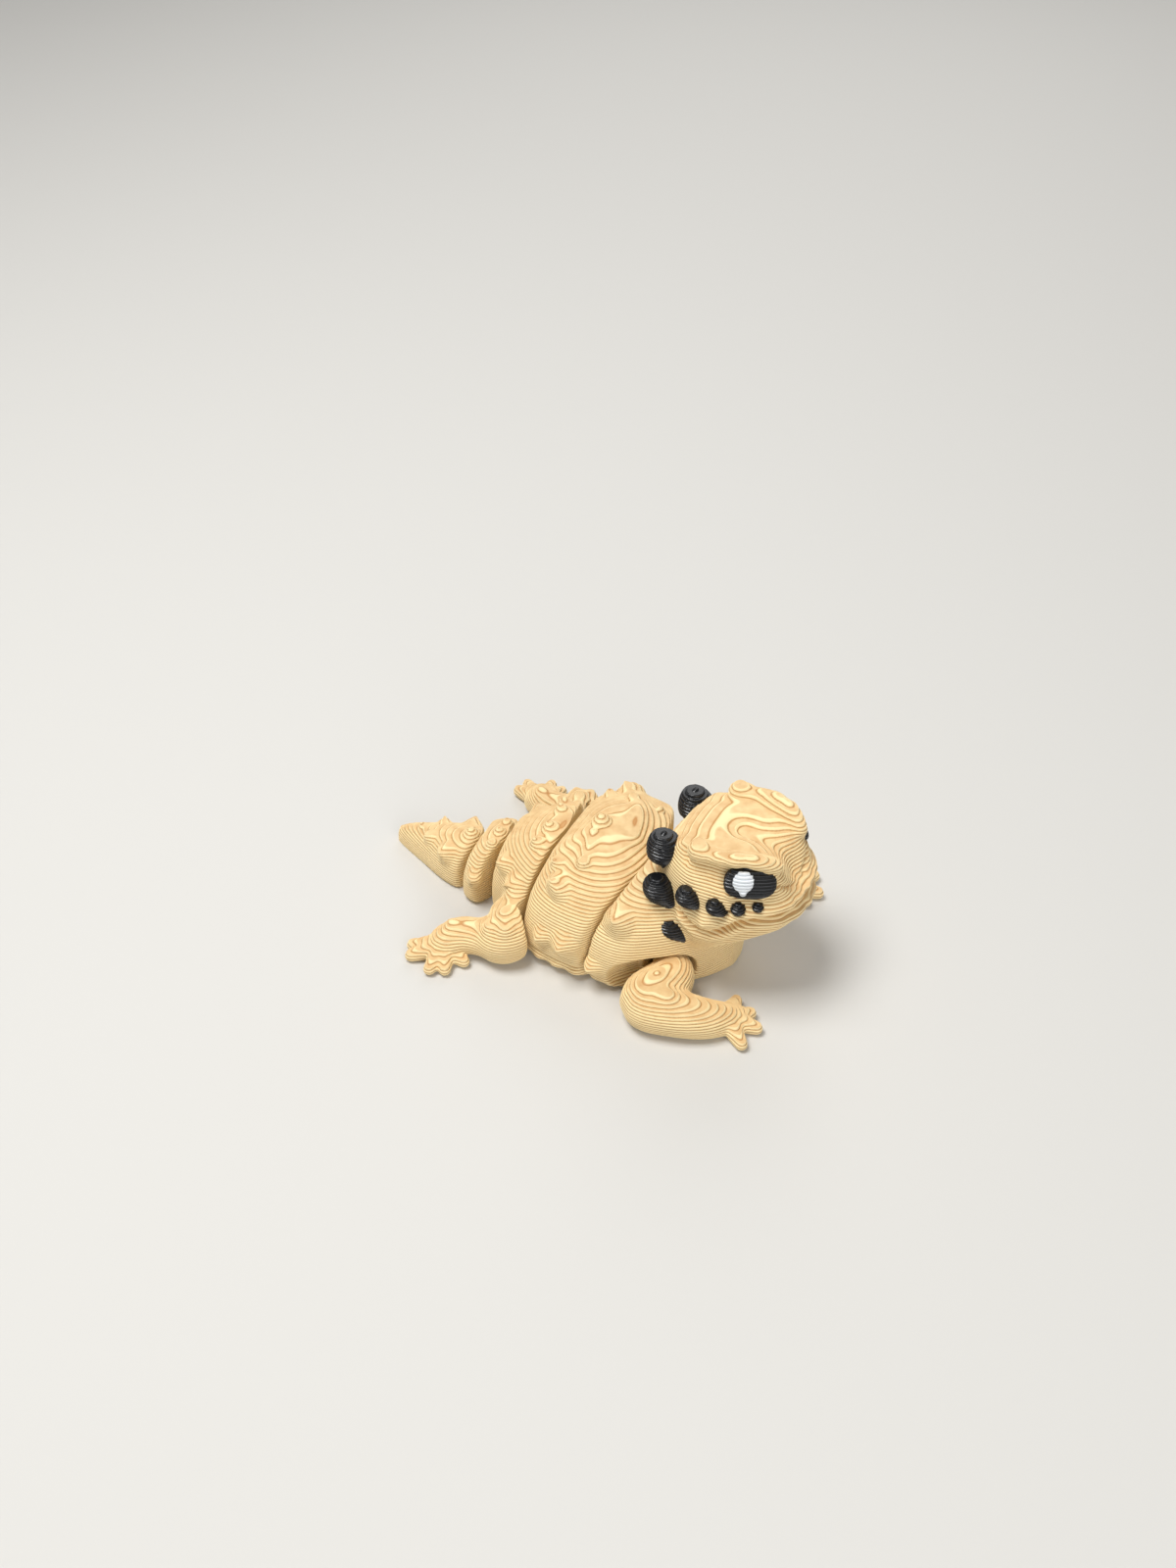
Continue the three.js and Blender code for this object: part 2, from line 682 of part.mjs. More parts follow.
addNode("torso_mid", mid, TAN);
addNode("torso_hip", hip, TAN);
addNode("tail_disc", disc, TAN);
addNode("tail_tip", tail, TAN);

// Head, modelled whole with the front piece and parted from it by a thin slanted cut
let forebody = front.add(solid(placed(headForm(), FRONT)));
for (const side of [LEFT, RIGHT]) {
  forebody = forebody.add(solid(placed(mirrored(limbForm(BROW_PATH, 0), side), FRONT)));
}

// A spike: a blunt cone that swells a little above its root.
function spikeForm(spike, side, extra) {
  const profile = [
    new THREE.Vector2(0, -SPIKE_ROOT - extra),
    new THREE.Vector2(spike.base + extra, -SPIKE_ROOT - extra),
  ];
  for (const { along, wide } of SPIKE_PROFILE) {
    profile.push(new THREE.Vector2(spike.widest * wide + extra, spike.length * along + extra));
  }
  profile.push(new THREE.Vector2(0, spike.length + extra));
  const form = new THREE.LatheGeometry(profile, SPIKE_SIDES);
  form.rotateX(Math.PI / 2);
  form.rotateY(THREE.MathUtils.degToRad(90 - spike.pitch));
  form.rotateZ(THREE.MathUtils.degToRad(spike.yaw * side));
  form.translate(spike.x, spike.y * side, spike.z);
  return placed(form, FRONT);
}

// A form about the eye's own middle, outwards along +Y, in its place on the head.
function onEye(form, side) {
  form.rotateX(THREE.MathUtils.degToRad(EYE.lean));
  form.rotateZ(THREE.MathUtils.degToRad(-EYE.yaw));
  form.translate(EYE.x, EYE.y, EYE.z);
  return placed(mirrored(form, side), FRONT);
}

function eyeForm(side, extra) {
  const form = new THREE.SphereGeometry(1, EYE_MESH.sides, EYE_MESH.bands);
  form.scale(EYE.long + extra, EYE.deep + extra, EYE.tall + extra);
  return onEye(form, side);
}

function glintForm(side, extra) {
  const form = new THREE.SphereGeometry(1, GLINT_MESH.sides, GLINT_MESH.bands);
  form.scale(GLINT.radius + extra, GLINT.deep + extra, GLINT.radius + extra);
  form.translate(GLINT.along, GLINT.out, GLINT.up);
  return onEye(form, side);
}

for (const [name, side] of [["left", LEFT], ["right", RIGHT]]) {
  for (const [kind, spike] of Object.entries(SPIKES)) {
    const body = solid(spikeForm(spike, side, 0));
    const room = solid(spikeForm(spike, side, PART_GAP));
    forebody = forebody.subtract(room);
    addNode(`spike_${kind}_${name}`, body, BLACK);
  }
  forebody = forebody.subtract(solid(eyeForm(side, PART_GAP)));
  addNode(`eye_${name}`, solid(eyeForm(side, 0)).subtract(solid(glintForm(side, PART_GAP))), BLACK);
  addNode(`glint_${name}`, solid(glintForm(side, 0)), WHITE);
}

// What lies under the slanted parting, or with a lift under one that lies higher by that much.
function underParting(lift) {
  const block = new THREE.BoxGeometry(LARGE_BLOCK, LARGE_BLOCK, LARGE_BLOCK);
  block.translate(0, 0, lift - LARGE_BLOCK / 2);
  block.rotateY(THREE.MathUtils.degToRad(PARTING.slope));
  block.translate(PARTING.x, 0, PARTING.z);
  return solid(placed(block, FRONT));
}

addNode("torso_front", forebody.intersect(underParting(0)), TAN);
addNode("head", forebody.subtract(underParting(PART_GAP)), TAN);

export default toy;
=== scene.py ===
"""A small layer-printed toy horned lizard on a pale floor, laid out as an add-on."""

import json
import math

import bpy
import numpy as np
from mathutils import Matrix, Vector


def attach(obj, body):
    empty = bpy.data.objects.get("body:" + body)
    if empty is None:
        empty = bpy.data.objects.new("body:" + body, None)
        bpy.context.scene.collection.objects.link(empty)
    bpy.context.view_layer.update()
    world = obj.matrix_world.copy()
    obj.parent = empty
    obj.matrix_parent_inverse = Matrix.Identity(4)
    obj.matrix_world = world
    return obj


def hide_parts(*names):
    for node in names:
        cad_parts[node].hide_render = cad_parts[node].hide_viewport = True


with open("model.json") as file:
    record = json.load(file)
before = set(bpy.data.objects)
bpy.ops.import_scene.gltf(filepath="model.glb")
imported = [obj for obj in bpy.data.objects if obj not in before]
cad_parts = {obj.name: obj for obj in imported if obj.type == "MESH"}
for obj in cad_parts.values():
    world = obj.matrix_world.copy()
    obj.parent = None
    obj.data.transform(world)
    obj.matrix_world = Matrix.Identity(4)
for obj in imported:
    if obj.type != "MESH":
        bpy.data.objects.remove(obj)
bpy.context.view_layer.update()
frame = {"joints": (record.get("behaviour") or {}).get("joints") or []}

bl_info = {
    "name": "Printed Horned Lizard",
    "version": (1, 0, 0),
    "blender": (4, 5, 0),
    "location": "3D View > Sidebar > Lizard",
    "description": "Builds a layer-printed toy horned lizard with linked body pieces",
    "category": "Add Mesh",
}

MM = 0.001
JOINTS = {joint["name"]: joint for joint in frame["joints"]}
SIDES = {"left": 1, "right": -1}

# Places and headings of the body pieces about +Z, in millimetres and degrees, as the toy stands
BOX_MIDDLE_X = -4.706
MID = {"x": -2.3, "y": -0.2, "yaw": -7}
FRONT = {"x": 0.9, "y": -0.5, "yaw": -7}
HIP = {"x": -9.0, "y": 0, "yaw": -2}
DISC = {"x": -14.6, "y": 0, "yaw": -3}
TAIL = {"x": -17.0, "y": 0.1, "yaw": -12}

# Stations of the body forms: place along the piece, half width, underside and top height
MID_STATIONS = (
    (-5.0, 8.6, -0.5, 9.0),
    (-3.8, 9.3, -0.5, 10.1),
    (-1.6, 9.8, -0.5, 10.9),
    (1.0, 9.9, -0.5, 11.0),
    (3.2, 9.7, -0.5, 10.4),
    (5.0, 9.3, -0.5, 9.5),
)
FRONT_STATIONS = (
    (-2.4, 9.2, -0.5, 9.6),
    (0.0, 9.8, -0.5, 10.6),
    (2.4, 9.6, -0.5, 11.2),
    (4.8, 8.0, -0.5, 11.4),
    (6.6, 6.4, -0.5, 11.0),
    (8.2, 4.6, -0.5, 10.2),
    (9.2, 2.9, -0.5, 9.0),
    (10.0, 1.2, -0.5, 7.2),
)
HIP_STATIONS = (
    (-4.4, 4.0, -0.5, 6.6),
    (-3.0, 5.0, -0.5, 7.8),
    (-1.0, 6.3, -0.5, 8.9),
    (1.2, 7.4, -0.5, 9.5),
    (3.2, 8.0, -0.5, 9.5),
    (4.6, 8.2, -0.5, 9.0),
)
DISC_STATIONS = (
    (-2.3, 3.2, -0.5, 4.9),
    (-1.2, 4.1, -0.5, 5.8),
    (0.4, 4.5, -0.5, 6.4),
    (2.0, 4.3, -0.5, 6.2),
    (3.0, 3.8, -0.5, 5.6),
)
TAIL_STATIONS = (
    (-9.3, 0.5, -0.5, 1.5),
    (-7.6, 1.1, -0.5, 2.5),
    (-5.0, 1.9, -0.5, 3.5),
    (-2.2, 2.8, -0.5, 4.5),
    (-0.2, 3.1, -0.5, 5.0),
    (1.0, 2.9, -0.5, 4.8),
    (2.0, 2.3, -0.5, 4.2),
)
HEAD_STATIONS = (
    (2.8, 3.2, 7.0, 12.8),
    (4.2, 4.6, 5.0, 15.2),
    (6.2, 5.8, 4.2, 16.1),
    (8.6, 6.1, 4.6, 16.5),
    (11.2, 5.6, 6.4, 16.5),
    (13.4, 4.5, 7.7, 15.8),
    (14.7, 3.5, 8.4, 14.1),
    (15.8, 1.7, 9.4, 11.4),
)
BODY_SHAPE = {"level": 0.3, "upper": 0.86, "lower": 0.55}
HEAD_SHAPE = {"level": 0.45, "upper": 0.56, "lower": 0.5}

# Faces between the pieces, and the links behind them: the gaps, and the angle between copies of a sweep
FACE_BOW = {"front": 17, "hip": 34, "disc": 14, "tail": 8}
FACE_AT = {"front": 4.3, "hip": -4.2, "disc": -3.7, "tail": -1.1}
# The printed skins stand this much closer at the front face than the solids
FACE_CLOSER = 0.12
HINGE_GAP = 0.35
SWEEP_STEP = 4
KNOB = {"waist": 1.6, "end": 1.05, "height": 5.0, "ahead": 2.0}
SMALL_KNOB = {"waist": 1.1, "end": 0.75, "height": 3.2, "ahead": 1.4}
TAIL_KNOB = {"waist": 0.85, "end": 0.6, "height": 2.6, "ahead": 0.9}
NECK = {"half": 0.75, "low": 1.6, "high": 3.6}
SMALL_NECK = {"half": 0.55, "low": 0.9, "high": 2.3}
TAIL_NECK = {"half": 0.4, "low": 0.7, "high": 1.9}
NECK_ROOT = 1.6

# Front legs, drawn for the left side about the shoulder knob: place and radius of each station.
# The socket clears only the first stations, by the arm's room
SHOULDER = {"left": 20, "right": 0}
SHOULDER_KNOB = {"waist": 1.35, "end": 0.9, "height": 4.0, "ahead": 0.0}
FRONT_LEG_PATH = (
    (0.0, -0.2, 2.2, 1.4),
    (1.4, 1.9, 2.3, 2.1),
    (1.2, 3.8, 2.2, 2.4),
    (0.7, 5.7, 2.0, 2.5),
    (3.4, 5.5, 1.8, 2.15),
    (5.8, 4.6, 1.4, 1.85),
    (7.4, 3.4, 1.0, 1.5),
)
ARM_STATIONS = 4
ARM_ROOM = 0.3
FRONT_PALM = (7.4, 3.1, 1.5)
FRONT_TOES = ((39, 3.2), (-8, 3.0), (-46, 2.5), (-92, 2.6))

# Rear legs, drawn for the left side in the hip piece's frame
REAR_LEG_PATH = (
    (0.6, 5.4, 3.4, 2.5),
    (-0.6, 8.8, 2.3, 2.8),
    (-2.6, 9.5, 1.8, 1.8),
    (-4.4, 9.9, 1.7, 1.7),
    (-5.6, 10.9, 1.1, 1.8),
)
REAR_PALM = (-5.8, 11.1, 1.8)
REAR_TOES = ((164, 3.2), (140, 3.4), (92, 3.1), (63, 2.9), (19, 2.7))
# How far the thighs and the hip keep clear of the middle piece over its swing
THIGH_ROOM = 0.45

# Toes: thickness at root and tip, and height of the tip and the knuckle; the palm is a flattened ball
TOE = {"root": 1.1, "tip": 0.55, "rise": 0.55, "knuckle": 1.15}
TOE_SHARES = (0.0, 0.35, 0.7, 0.95)
TOE_FALL = 1.3
PALM = {"flat": 0.62, "over_toes": 0.2, "end": 1.45}

# Bumps on the skin: place along the piece, size, and places round the back as shares of a half turn
MID_BUMPS = (
    (-1.3, 1.0, (0.5,)),
    (-1.5, 1.0, (0.23, 0.77)),
    (-3.1, 0.8, (0.33, 0.67)),
    (-2.2, 1.15, (0.255, 0.745)),
    (-0.1, 1.35, (0.042, 0.958)),
    (-2.5, 1.0, (0.04, 0.96)),
    (-0.5, 0.7, (0.35, 0.65)),
    (2.3, 0.5, (0.34,)),
)
FRONT_BUMPS = ((1.4, 1.45, (0.2, 0.8)), (-0.4, 1.0, (0.0, 1.0)), (0.9, 0.5, (0.48, 0.54)))
HIP_BUMPS = (
    (0.5, 0.85, (0.42, 0.52)),
    (0.1, 0.85, (0.33, 0.61)),
    (-0.9, 1.35, (0.145, 0.855)),
    (-2.7, 1.1, (0.24, 0.76)),
    (1.9, 0.8, (0.3, 0.7)),
)
DISC_BUMPS = ((0.6, 0.7, (0.4, 0.5, 0.6)), (-0.2, 1.0, (0.12, 0.88)))
TAIL_BUMPS = ((-0.1, 0.95, (0.5,)), (-1.6, 1.1, (0.22, 0.78)), (-4.4, 0.8, (0.3, 0.68)), (-6.2, 0.5, (0.5,)))
# A bump of size 1, and how sharply it comes to a point
BUMP = {"radius": 1.2, "height": 0.95}
BUMP_POWER = 1.4
# Bumps of the legs of the left side: place, radius and height, in the hip piece's and the leg's frame
REAR_LEG_BUMPS = (
    (-1.6, 10.4, 4.4, 1.2, 0.45),
    (0.2, 10.2, 4.6, 1.2, 0.5),
    (-0.5, 8.9, 5.2, 1.1, 0.4),
    (-5.4, 10.2, 3.0, 1.1, 0.4),
)
FRONT_LEG_BUMPS = ((2.8, 5.8, 3.9, 1.5, 0.45), (1.0, 4.4, 4.7, 1.2, 0.3))

# Ridges of the middle piece between its bumps: places along and round it, half width and height
MID_RIDGES = (
    (((-1.4, 0.23), (0.4, 0.37), (2.2, 0.5)), 0.9, 0.35),
    (((-3.4, 0.62), (-1.3, 0.5)), 0.9, 0.3),
    (((-1.2, 0.54), (-0.5, 0.65)), 0.6, 0.3),
)
# The wavy lip low on the flanks: its height, thickness, depth and the length of a wave
FRINGE = {"rise": 0.8, "half": 0.4, "depth": 0.7, "wave": 1.9, "groove": 0.4, "groove_up": 2.4}
# The front piece's lip is this much of that, because the right front leg swings past it with almost no room
FRONT_LIP = 0.35

# Spikes of the left side in the front piece's frame: root, lean, turn, length, root and widest radius
SPIKES = {
    "horn": (4.0, 3.2, 12.65, 66, 175, 3.2, 1.0, 1.65),
    "temple": (4.6, 5.0, 10.3, 46, 145, 2.6, 1.2, 1.35),
    "cheek_a": (7.3, 5.75, 11.7, 40, 130, 1.6, 1.0, 1.0),
    "cheek_b": (9.8, 5.75, 11.7, 40, 120, 1.2, 0.8, 0.78),
    "cheek_c": (11.6, 5.3, 12.0, 40, 100, 0.8, 0.65, 0.62),
    "cheek_d": (13.1, 4.6, 12.3, 40, 80, 0.7, 0.52, 0.5),
    "jaw": (6.1, 5.4, 6.7, 35, 145, 2.2, 1.0, 1.05),
}
SPIKE_ROOT = 0.9
# Radius and place along a spike, as shares of its widest radius and length, over the root
SPIKE_PROFILE = ((1.0, 0.35), (0.86, 0.68), (0.5, 0.93), (0.12, 1.0))
SPIKE_SEAT = 0.9
# Beads on the spikes stand this much prouder than on the body
SPIKE_BEAD = 2.0

# Brow ridge of the left side, in the front piece's frame
BROW_PATH = (
    (7.0, 4.0, 16.0, 0.95),
    (8.8, 4.15, 15.9, 0.8),
    (10.6, 4.0, 16.2, 0.8),
    (12.3, 3.4, 16.2, 0.8),
    (13.4, 2.6, 15.7, 0.75),
)

# Eyes and glints of the left side: half sizes, turn and lean, and the glint as seen on the eye
EYE = {"x": 12.1, "y": 4.4, "z": 14.6, "long": 2.3, "tall": 1.5, "deep": 0.6, "yaw": 26, "lean": 22, "square": 0.78}
GLINT = {"along": -0.6, "up": 0.2, "out": 0.45, "radius": 1.0, "deep": 0.35}
# The strand that hangs from the glint: radius, thickness and how far below it
DRIP = {"radius": 0.36, "deep": 0.288, "below": 0.95}

# Line of the mouth on the left side, from the corner to the middle of the snout
MOUTH = (
    (6.4, 5.8, 9.9), (8.2, 6.0, 8.8), (10.4, 5.7, 9.3), (11.5, 5.4, 10.3),
    (12.9, 4.8, 10.9), (14.7, 3.5, 11.1), (15.5, 2.2, 11.0), (15.9, 0.0, 11.2),
)

# Folds of the head's left side: points, half width, and height over the skin or, below zero, depth
HEAD_FOLDS = {
    "brow edge": (
        (
            (7.1, 4.7, 16.2), (8.6, 4.75, 16.2), (10.2, 4.6, 16.5),
            (11.6, 4.2, 16.6), (12.8, 3.6, 16.3), (13.7, 2.7, 15.7),
        ),
        0.5, 0.5,
    ),
    "notch behind the brow": (((6.2, 5.1, 14.9), (6.15, 4.3, 15.8), (6.3, 3.7, 16.1)), 0.26, -0.35),
    "upper lid": (((10.6, 4.9, 15.6), (11.8, 4.7, 15.7), (13.0, 4.0, 15.5), (13.8, 3.2, 15.0)), 0.34, 0.42),
    "lower lid": (((10.7, 5.6, 13.4), (11.5, 5.5, 13.0), (12.4, 5.1, 12.95), (13.3, 4.4, 13.2)), 0.32, 0.42),
    "mouth": (MOUTH, 0.36, -0.5),
    "upper lip": (tuple((x, y, z + 0.85) for x, y, z in MOUTH), 0.4, 0.4),
    "lower lip": (tuple((x, y, z - 0.8) for x, y, z in MOUTH), 0.4, 0.4),
    "wrinkle over the mouth": (
        ((6.5, 5.8, 10.9), (8.0, 6.0, 11.0), (9.4, 5.9, 10.8), (10.7, 5.7, 11.4), (11.9, 5.3, 11.7)),
        0.25, -0.35,
    ),
    "cheek": (((12.4, 5.0, 11.5), (13.9, 4.1, 11.9), (15.1, 2.6, 11.9)), 0.5, 0.35),
    "nostril fold": (((13.9, 3.3, 14.3), (14.8, 2.2, 13.4), (15.5, 0.9, 12.9)), 0.28, -0.32),
    "lower jaw": (((8.0, 5.7, 7.4), (10.4, 5.3, 7.8), (12.6, 4.5, 8.8), (14.6, 3.1, 9.8)), 0.5, 0.32),
    "valley of the snout": (((9.8, 0.0, 16.5), (11.6, 0.0, 16.4), (13.4, 0.0, 15.6), (14.8, 0.0, 13.8)), 1.5, -0.4),
}
# Points and hollows of the head's left side: place, radius, and height or depth
HEAD_BUMPS = {
    "crown corner": (5.4, 3.6, 15.4, 1.5, 0.4),
    "brow corner": (7.1, 4.6, 16.3, 1.3, 0.6),
    "brow scallop a": (9.1, 4.7, 16.4, 0.9, 0.25),
    "brow scallop b": (10.7, 4.5, 16.6, 0.9, 0.25),
    "brow scallop c": (12.2, 3.9, 16.5, 0.9, 0.25),
    "brow scallop d": (13.4, 3.0, 16.0, 0.9, 0.25),
    "hollow under the brow": (9.0, 5.3, 14.6, 2.6, -0.5),
    "eye socket": (12.1, 4.9, 14.6, 3.0, -0.7),
    "jowl": (8.8, 6.1, 9.9, 1.8, 0.8),
    "snout point": (15.4, 1.0, 12.6, 1.4, 0.25),
}


# A printed layer: where a slope starts to show steps and over what it blends, the share of a layer over
# which a step rises, the height of its tread, where its last bit begins, and the middle of a bead
STEP = {"from": 0.12, "blend": 0.5, "rise": 0.35, "tread": 0.86, "last": 0.9, "bead_middle": 0.8}
POINTS_PER_LAYER = 5
# The spacing and the smoothing that round the edges of a body before its finer skin is made
MELT = {"cell": 0.25, "times": 5}
SKIN_SMOOTHING = 8
SMALL_SMOOTHING = 3
# Size in millimetres and levels of the print's irregularities: waver of the painted shade line, patches of tone, and
# grain.
# The grain is drawn at 0.19 mm, because the plastic's own is too fine to show
WAVER = (1.11, 2.0)
CLOUD = (6.25, 3.0)
GRAIN = (0.1923, 3.0)
PLA_IOR = 1.46
# How far the painted shade line wavers in layers, the tone of its edge and of the darkest patch, and the strength of
# the grain
PRINT = {"waver": 0.12, "edge": 0.35, "patch": 0.82, "grain": 0.25, "relief": 0.55}

# Camera, lights (place, power and size) and studio, in metres in the toy's frame
CAMERA = {"x": 39.83 * MM, "y": -104.87 * MM, "z": 112.9 * MM, "pitch": 41.0, "heading": 20.9, "lens": 37.53}
SENSOR = 36
LIGHTS = {
    "key_light": ((-0.10, -0.05, 0.34), 1.15, 0.16),
    "fill_light": ((0.24, -0.26, 0.18), 0.6, 0.26),
    "rim_light": ((-0.05, 0.32, 0.25), 0.4, 0.25),
}
LIGHT_AIM = (0, 0, 0.005)
WORLD_STRENGTH = 0.24
FLOOR_REACH = 1.5


# Shapes as arrays of points in millimetres and lists of faces
def smooth_row(rows, count):
    """A Catmull-Rom curve through the rows, with that many rows."""
    rows = np.array(rows, float)
    ends = np.vstack((2 * rows[0] - rows[1], rows, 2 * rows[-1] - rows[-2]))
    made = []
    for value in np.linspace(0, len(rows) - 1, count):
        i = min(int(value), len(rows) - 2)
        t = value - i
        a, b, c, d = ends[i : i + 4]
        square, cube = 2 * a - 5 * b + 4 * c - d, 3 * b - a - 3 * c + d
        made.append(0.5 * (2 * b + (c - a) * t + square * t**2 + cube * t**3))
    return np.array(made)


def skin_over(rings):
    """A closed skin over rings of points, with a fan over both ends."""
    count = len(rings[0])
    points = np.vstack([*rings, rings[0].mean(0), rings[-1].mean(0)])
    faces = []
    for r in range(len(rings) - 1):
        for i in range(count):
            a = r * count + i
            b = r * count + (i + 1) % count
            faces.append((a, b, b + count, a + count))
    last = (len(rings) - 1) * count
    hub = len(rings) * count
    for i in range(count):
        j = (i + 1) % count
        faces.append((hub, j, i))
        faces.append((hub + 1, last + i, last + j))
    return points, faces


def section(station, shape, sides):
    """A rounded cross-section, with one power for its back and one for its underside."""
    x, half, low, top = station
    level = low + (top - low) * shape["level"]
    angle = np.arange(sides) / sides * 2 * np.pi
    across, up = np.cos(angle), np.sin(angle)
    power = np.where(up >= 0, shape["upper"], shape["lower"])
    reach = np.where(up >= 0, top - level, level - low)
    y = np.sign(across) * half * np.abs(across) ** power
    z = level + np.sign(up) * reach * np.abs(up) ** power
    return np.stack((np.full(sides, x), y, z), 1)


def body_form(stations, shape, sides=72, rings=40):
    """A body through the stations, closed at both ends."""
    rows = smooth_row(stations, rings)
    return skin_over([section(row, shape, sides) for row in rows])


def limb_form(path, extra=0.0, sides=32, rings=36):
    """A round limb along the path, with domed ends."""
    rows = smooth_row(path, rings)
    centres, radii = rows[:, :3], rows[:, 3] + extra
    ahead = np.gradient(centres, axis=0)
    ahead /= np.linalg.norm(ahead, axis=1)[:, None]
    side = np.cross(ahead, (0.0, 0.0, 1.0))
    side /= np.linalg.norm(side, axis=1)[:, None]
    up = np.cross(side, ahead)
    angle = np.arange(sides) / sides * 2 * np.pi
    made = []
    domes = ((-0.95, 0.3), (-0.8, 0.6), (-0.5, 0.87))
    for shift, share in domes:
        made.append(ring_at(centres[0] + ahead[0] * radii[0] * shift, side[0], up[0], radii[0] * share, angle))
    for i in range(rings):
        made.append(ring_at(centres[i], side[i], up[i], radii[i], angle))
    for shift, share in reversed(domes):
        made.append(ring_at(centres[-1] - ahead[-1] * radii[-1] * shift, side[-1], up[-1], radii[-1] * share, angle))
    return skin_over(made)


def ring_at(centre, side, up, radius, angle):
    return centre - np.outer(np.cos(angle), side) * radius + np.outer(np.sin(angle), up) * radius


def turned_form(profile, sides):
    """A solid turned about Z from rows of radius and height, bottom first."""
    angle = np.arange(sides) / sides * 2 * np.pi
    rings = []
    for radius, height in profile:
        rings.append(np.stack((np.cos(angle) * radius, -np.sin(angle) * radius, np.full(sides, height)), 1))
    return skin_over([ring[::-1] for ring in rings])


def knob_form(knob, extra=0.0):
    """Two cones, base to base, so that the socket round them holds the knob."""
    middle = knob["height"] / 2
    profile = (
        (knob["end"] + extra, -extra),
        (knob["waist"] + extra, middle),
        (knob["end"] + extra, knob["height"] + extra),
    )
    return turned_form(profile, 32)


def bar_form(knob, neck, extra=0.0):
    """The bar that joins a knob to the piece behind it."""
    half = neck["half"] + extra
    low, high = neck["low"] - extra, neck["high"] + extra
    rings = []
    for x in (-knob["ahead"] - NECK_ROOT, 0.0):
        rings.append(np.array(((x, half, low), (x, half, high), (x, -half, high), (x, -half, low))))
    return skin_over(rings)


def bowed_block(at, radius, behind):
    """Fills what lies behind a face bowed forwards, or ahead of it."""
    depth, half, height, steps = 26, 13, 40, 24
    y = np.linspace(-half, half, steps + 1)
    face = at - (radius - np.sqrt(radius**2 - np.minimum(y**2, radius**2 * 0.98)))
    far = np.full(steps + 1, at - depth if behind else at + depth)
    near_x, far_x = (far, face) if behind else (face, far)
    rings = []
    for i in range(steps + 1):
        rings.append(
            np.array(
                (
                    (near_x[i], y[i], -height),
                    (near_x[i], y[i], height),
                    (far_x[i], y[i], height),
                    (far_x[i], y[i], -height),
                )
            )
        )
    return skin_over(rings)


def placed(form, place):
    """A form turned about +Z and moved to its place."""
    points, faces = form
    angle = math.radians(place["yaw"])
    cos, sin = math.cos(angle), math.sin(angle)
    turn = np.array(((cos, sin, 0), (-sin, cos, 0), (0, 0, 1)))
    return points @ turn + (place["x"], place["y"], 0), faces


def turned_about(form, pivot, degrees):
    points, faces = form
    shifted = points - (pivot[0], pivot[1], 0)
    return placed((shifted, faces), {"x": pivot[0], "y": pivot[1], "yaw": degrees})


def mirrored(form, side):
    points, faces = form
    if side > 0:
        return form
    return points * (1, -1, 1), [face[::-1] for face in faces]


def hinge_of(joint):
    """A joint's place in millimetres in the frame of the stations, and the angles its child covers."""
    x, y, _ = JOINTS[joint]["pos_m"]
    return (x / MM + BOX_MIDDLE_X, y / MM), *JOINTS[joint]["range_deg"]


def sweep(form, joint, backwards=False):
    """Copies of a form, turned through a joint's range; backwards for what the child has to clear."""
    pivot, low, high = hinge_of(joint)
    if backwards:
        low, high = -high, -low
    count = math.ceil((high - low) / SWEEP_STEP) + 1
    return [turned_about(form, pivot, angle) for angle in np.linspace(low, high, count)]


# Blender meshes
def new_mesh(form, name="form"):
    points, faces = form
    mesh = bpy.data.meshes.new(name)
    mesh.from_pydata([tuple(point) for point in points], [], faces)
    mesh.validate()
    return mesh


def evaluated(obj):
    graph = bpy.context.evaluated_depsgraph_get()
    return bpy.data.meshes.new_from_object(obj.evaluated_get(graph))


def temporary(mesh):
    obj = bpy.data.objects.new("temporary", mesh)
    bpy.context.scene.collection.objects.link(obj)
    return obj


def drop(obj):
    mesh = obj.data
    bpy.data.objects.remove(obj)
    if mesh.users == 0:
        bpy.data.meshes.remove(mesh)


def form_of(mesh):
    points = np.empty(len(mesh.vertices) * 3, np.float64)
    mesh.vertices.foreach_get("co", points)
    return points.reshape(-1, 3), [tuple(face.vertices) for face in mesh.polygons]


def carved(form, cutters):
    """A form without what the cutters fill."""
    body = temporary(new_mesh(form))
    tools = [temporary(new_mesh(cutter)) for cutter in cutters]
    for tool in tools:
        cut = body.modifiers.new("cut", "BOOLEAN")
        cut.operation = "DIFFERENCE"
        cut.solver = "MANIFOLD"
        cut.object = tool
    mesh = evaluated(body)
    made = form_of(mesh)
    bpy.data.meshes.remove(mesh)
    for obj in (body, *tools):
        drop(obj)
    if not made[1]:
        raise RuntimeError("a cut left nothing of a form")
    return made


def fused(forms, cell, stretch):
    """One dense quad skin over overlapping closed forms, finer along Z by the stretch."""
    points, faces, start = [], [], 0
    for form_points, form_faces in forms:
        points.append(form_points * (1, 1, stretch))
        faces.extend(tuple(i + start for i in face) for face in form_faces)
        start += len(form_points)
    body = temporary(new_mesh((np.vstack(points), faces)))
    remesh = body.modifiers.new("remesh", "REMESH")
    remesh.mode = "VOXEL"
    remesh.voxel_size = cell
    mesh = evaluated(body)
    count = len(mesh.polygons)
    co = np.empty(len(mesh.vertices) * 3)
    mesh.vertices.foreach_get("co", co)
    quads = np.empty(count * 4, np.int64)
    mesh.polygons.foreach_get("vertices", quads)
    bpy.data.meshes.remove(mesh)
    drop(body)
    return co.reshape(-1, 3), quads.reshape(-1, 4)


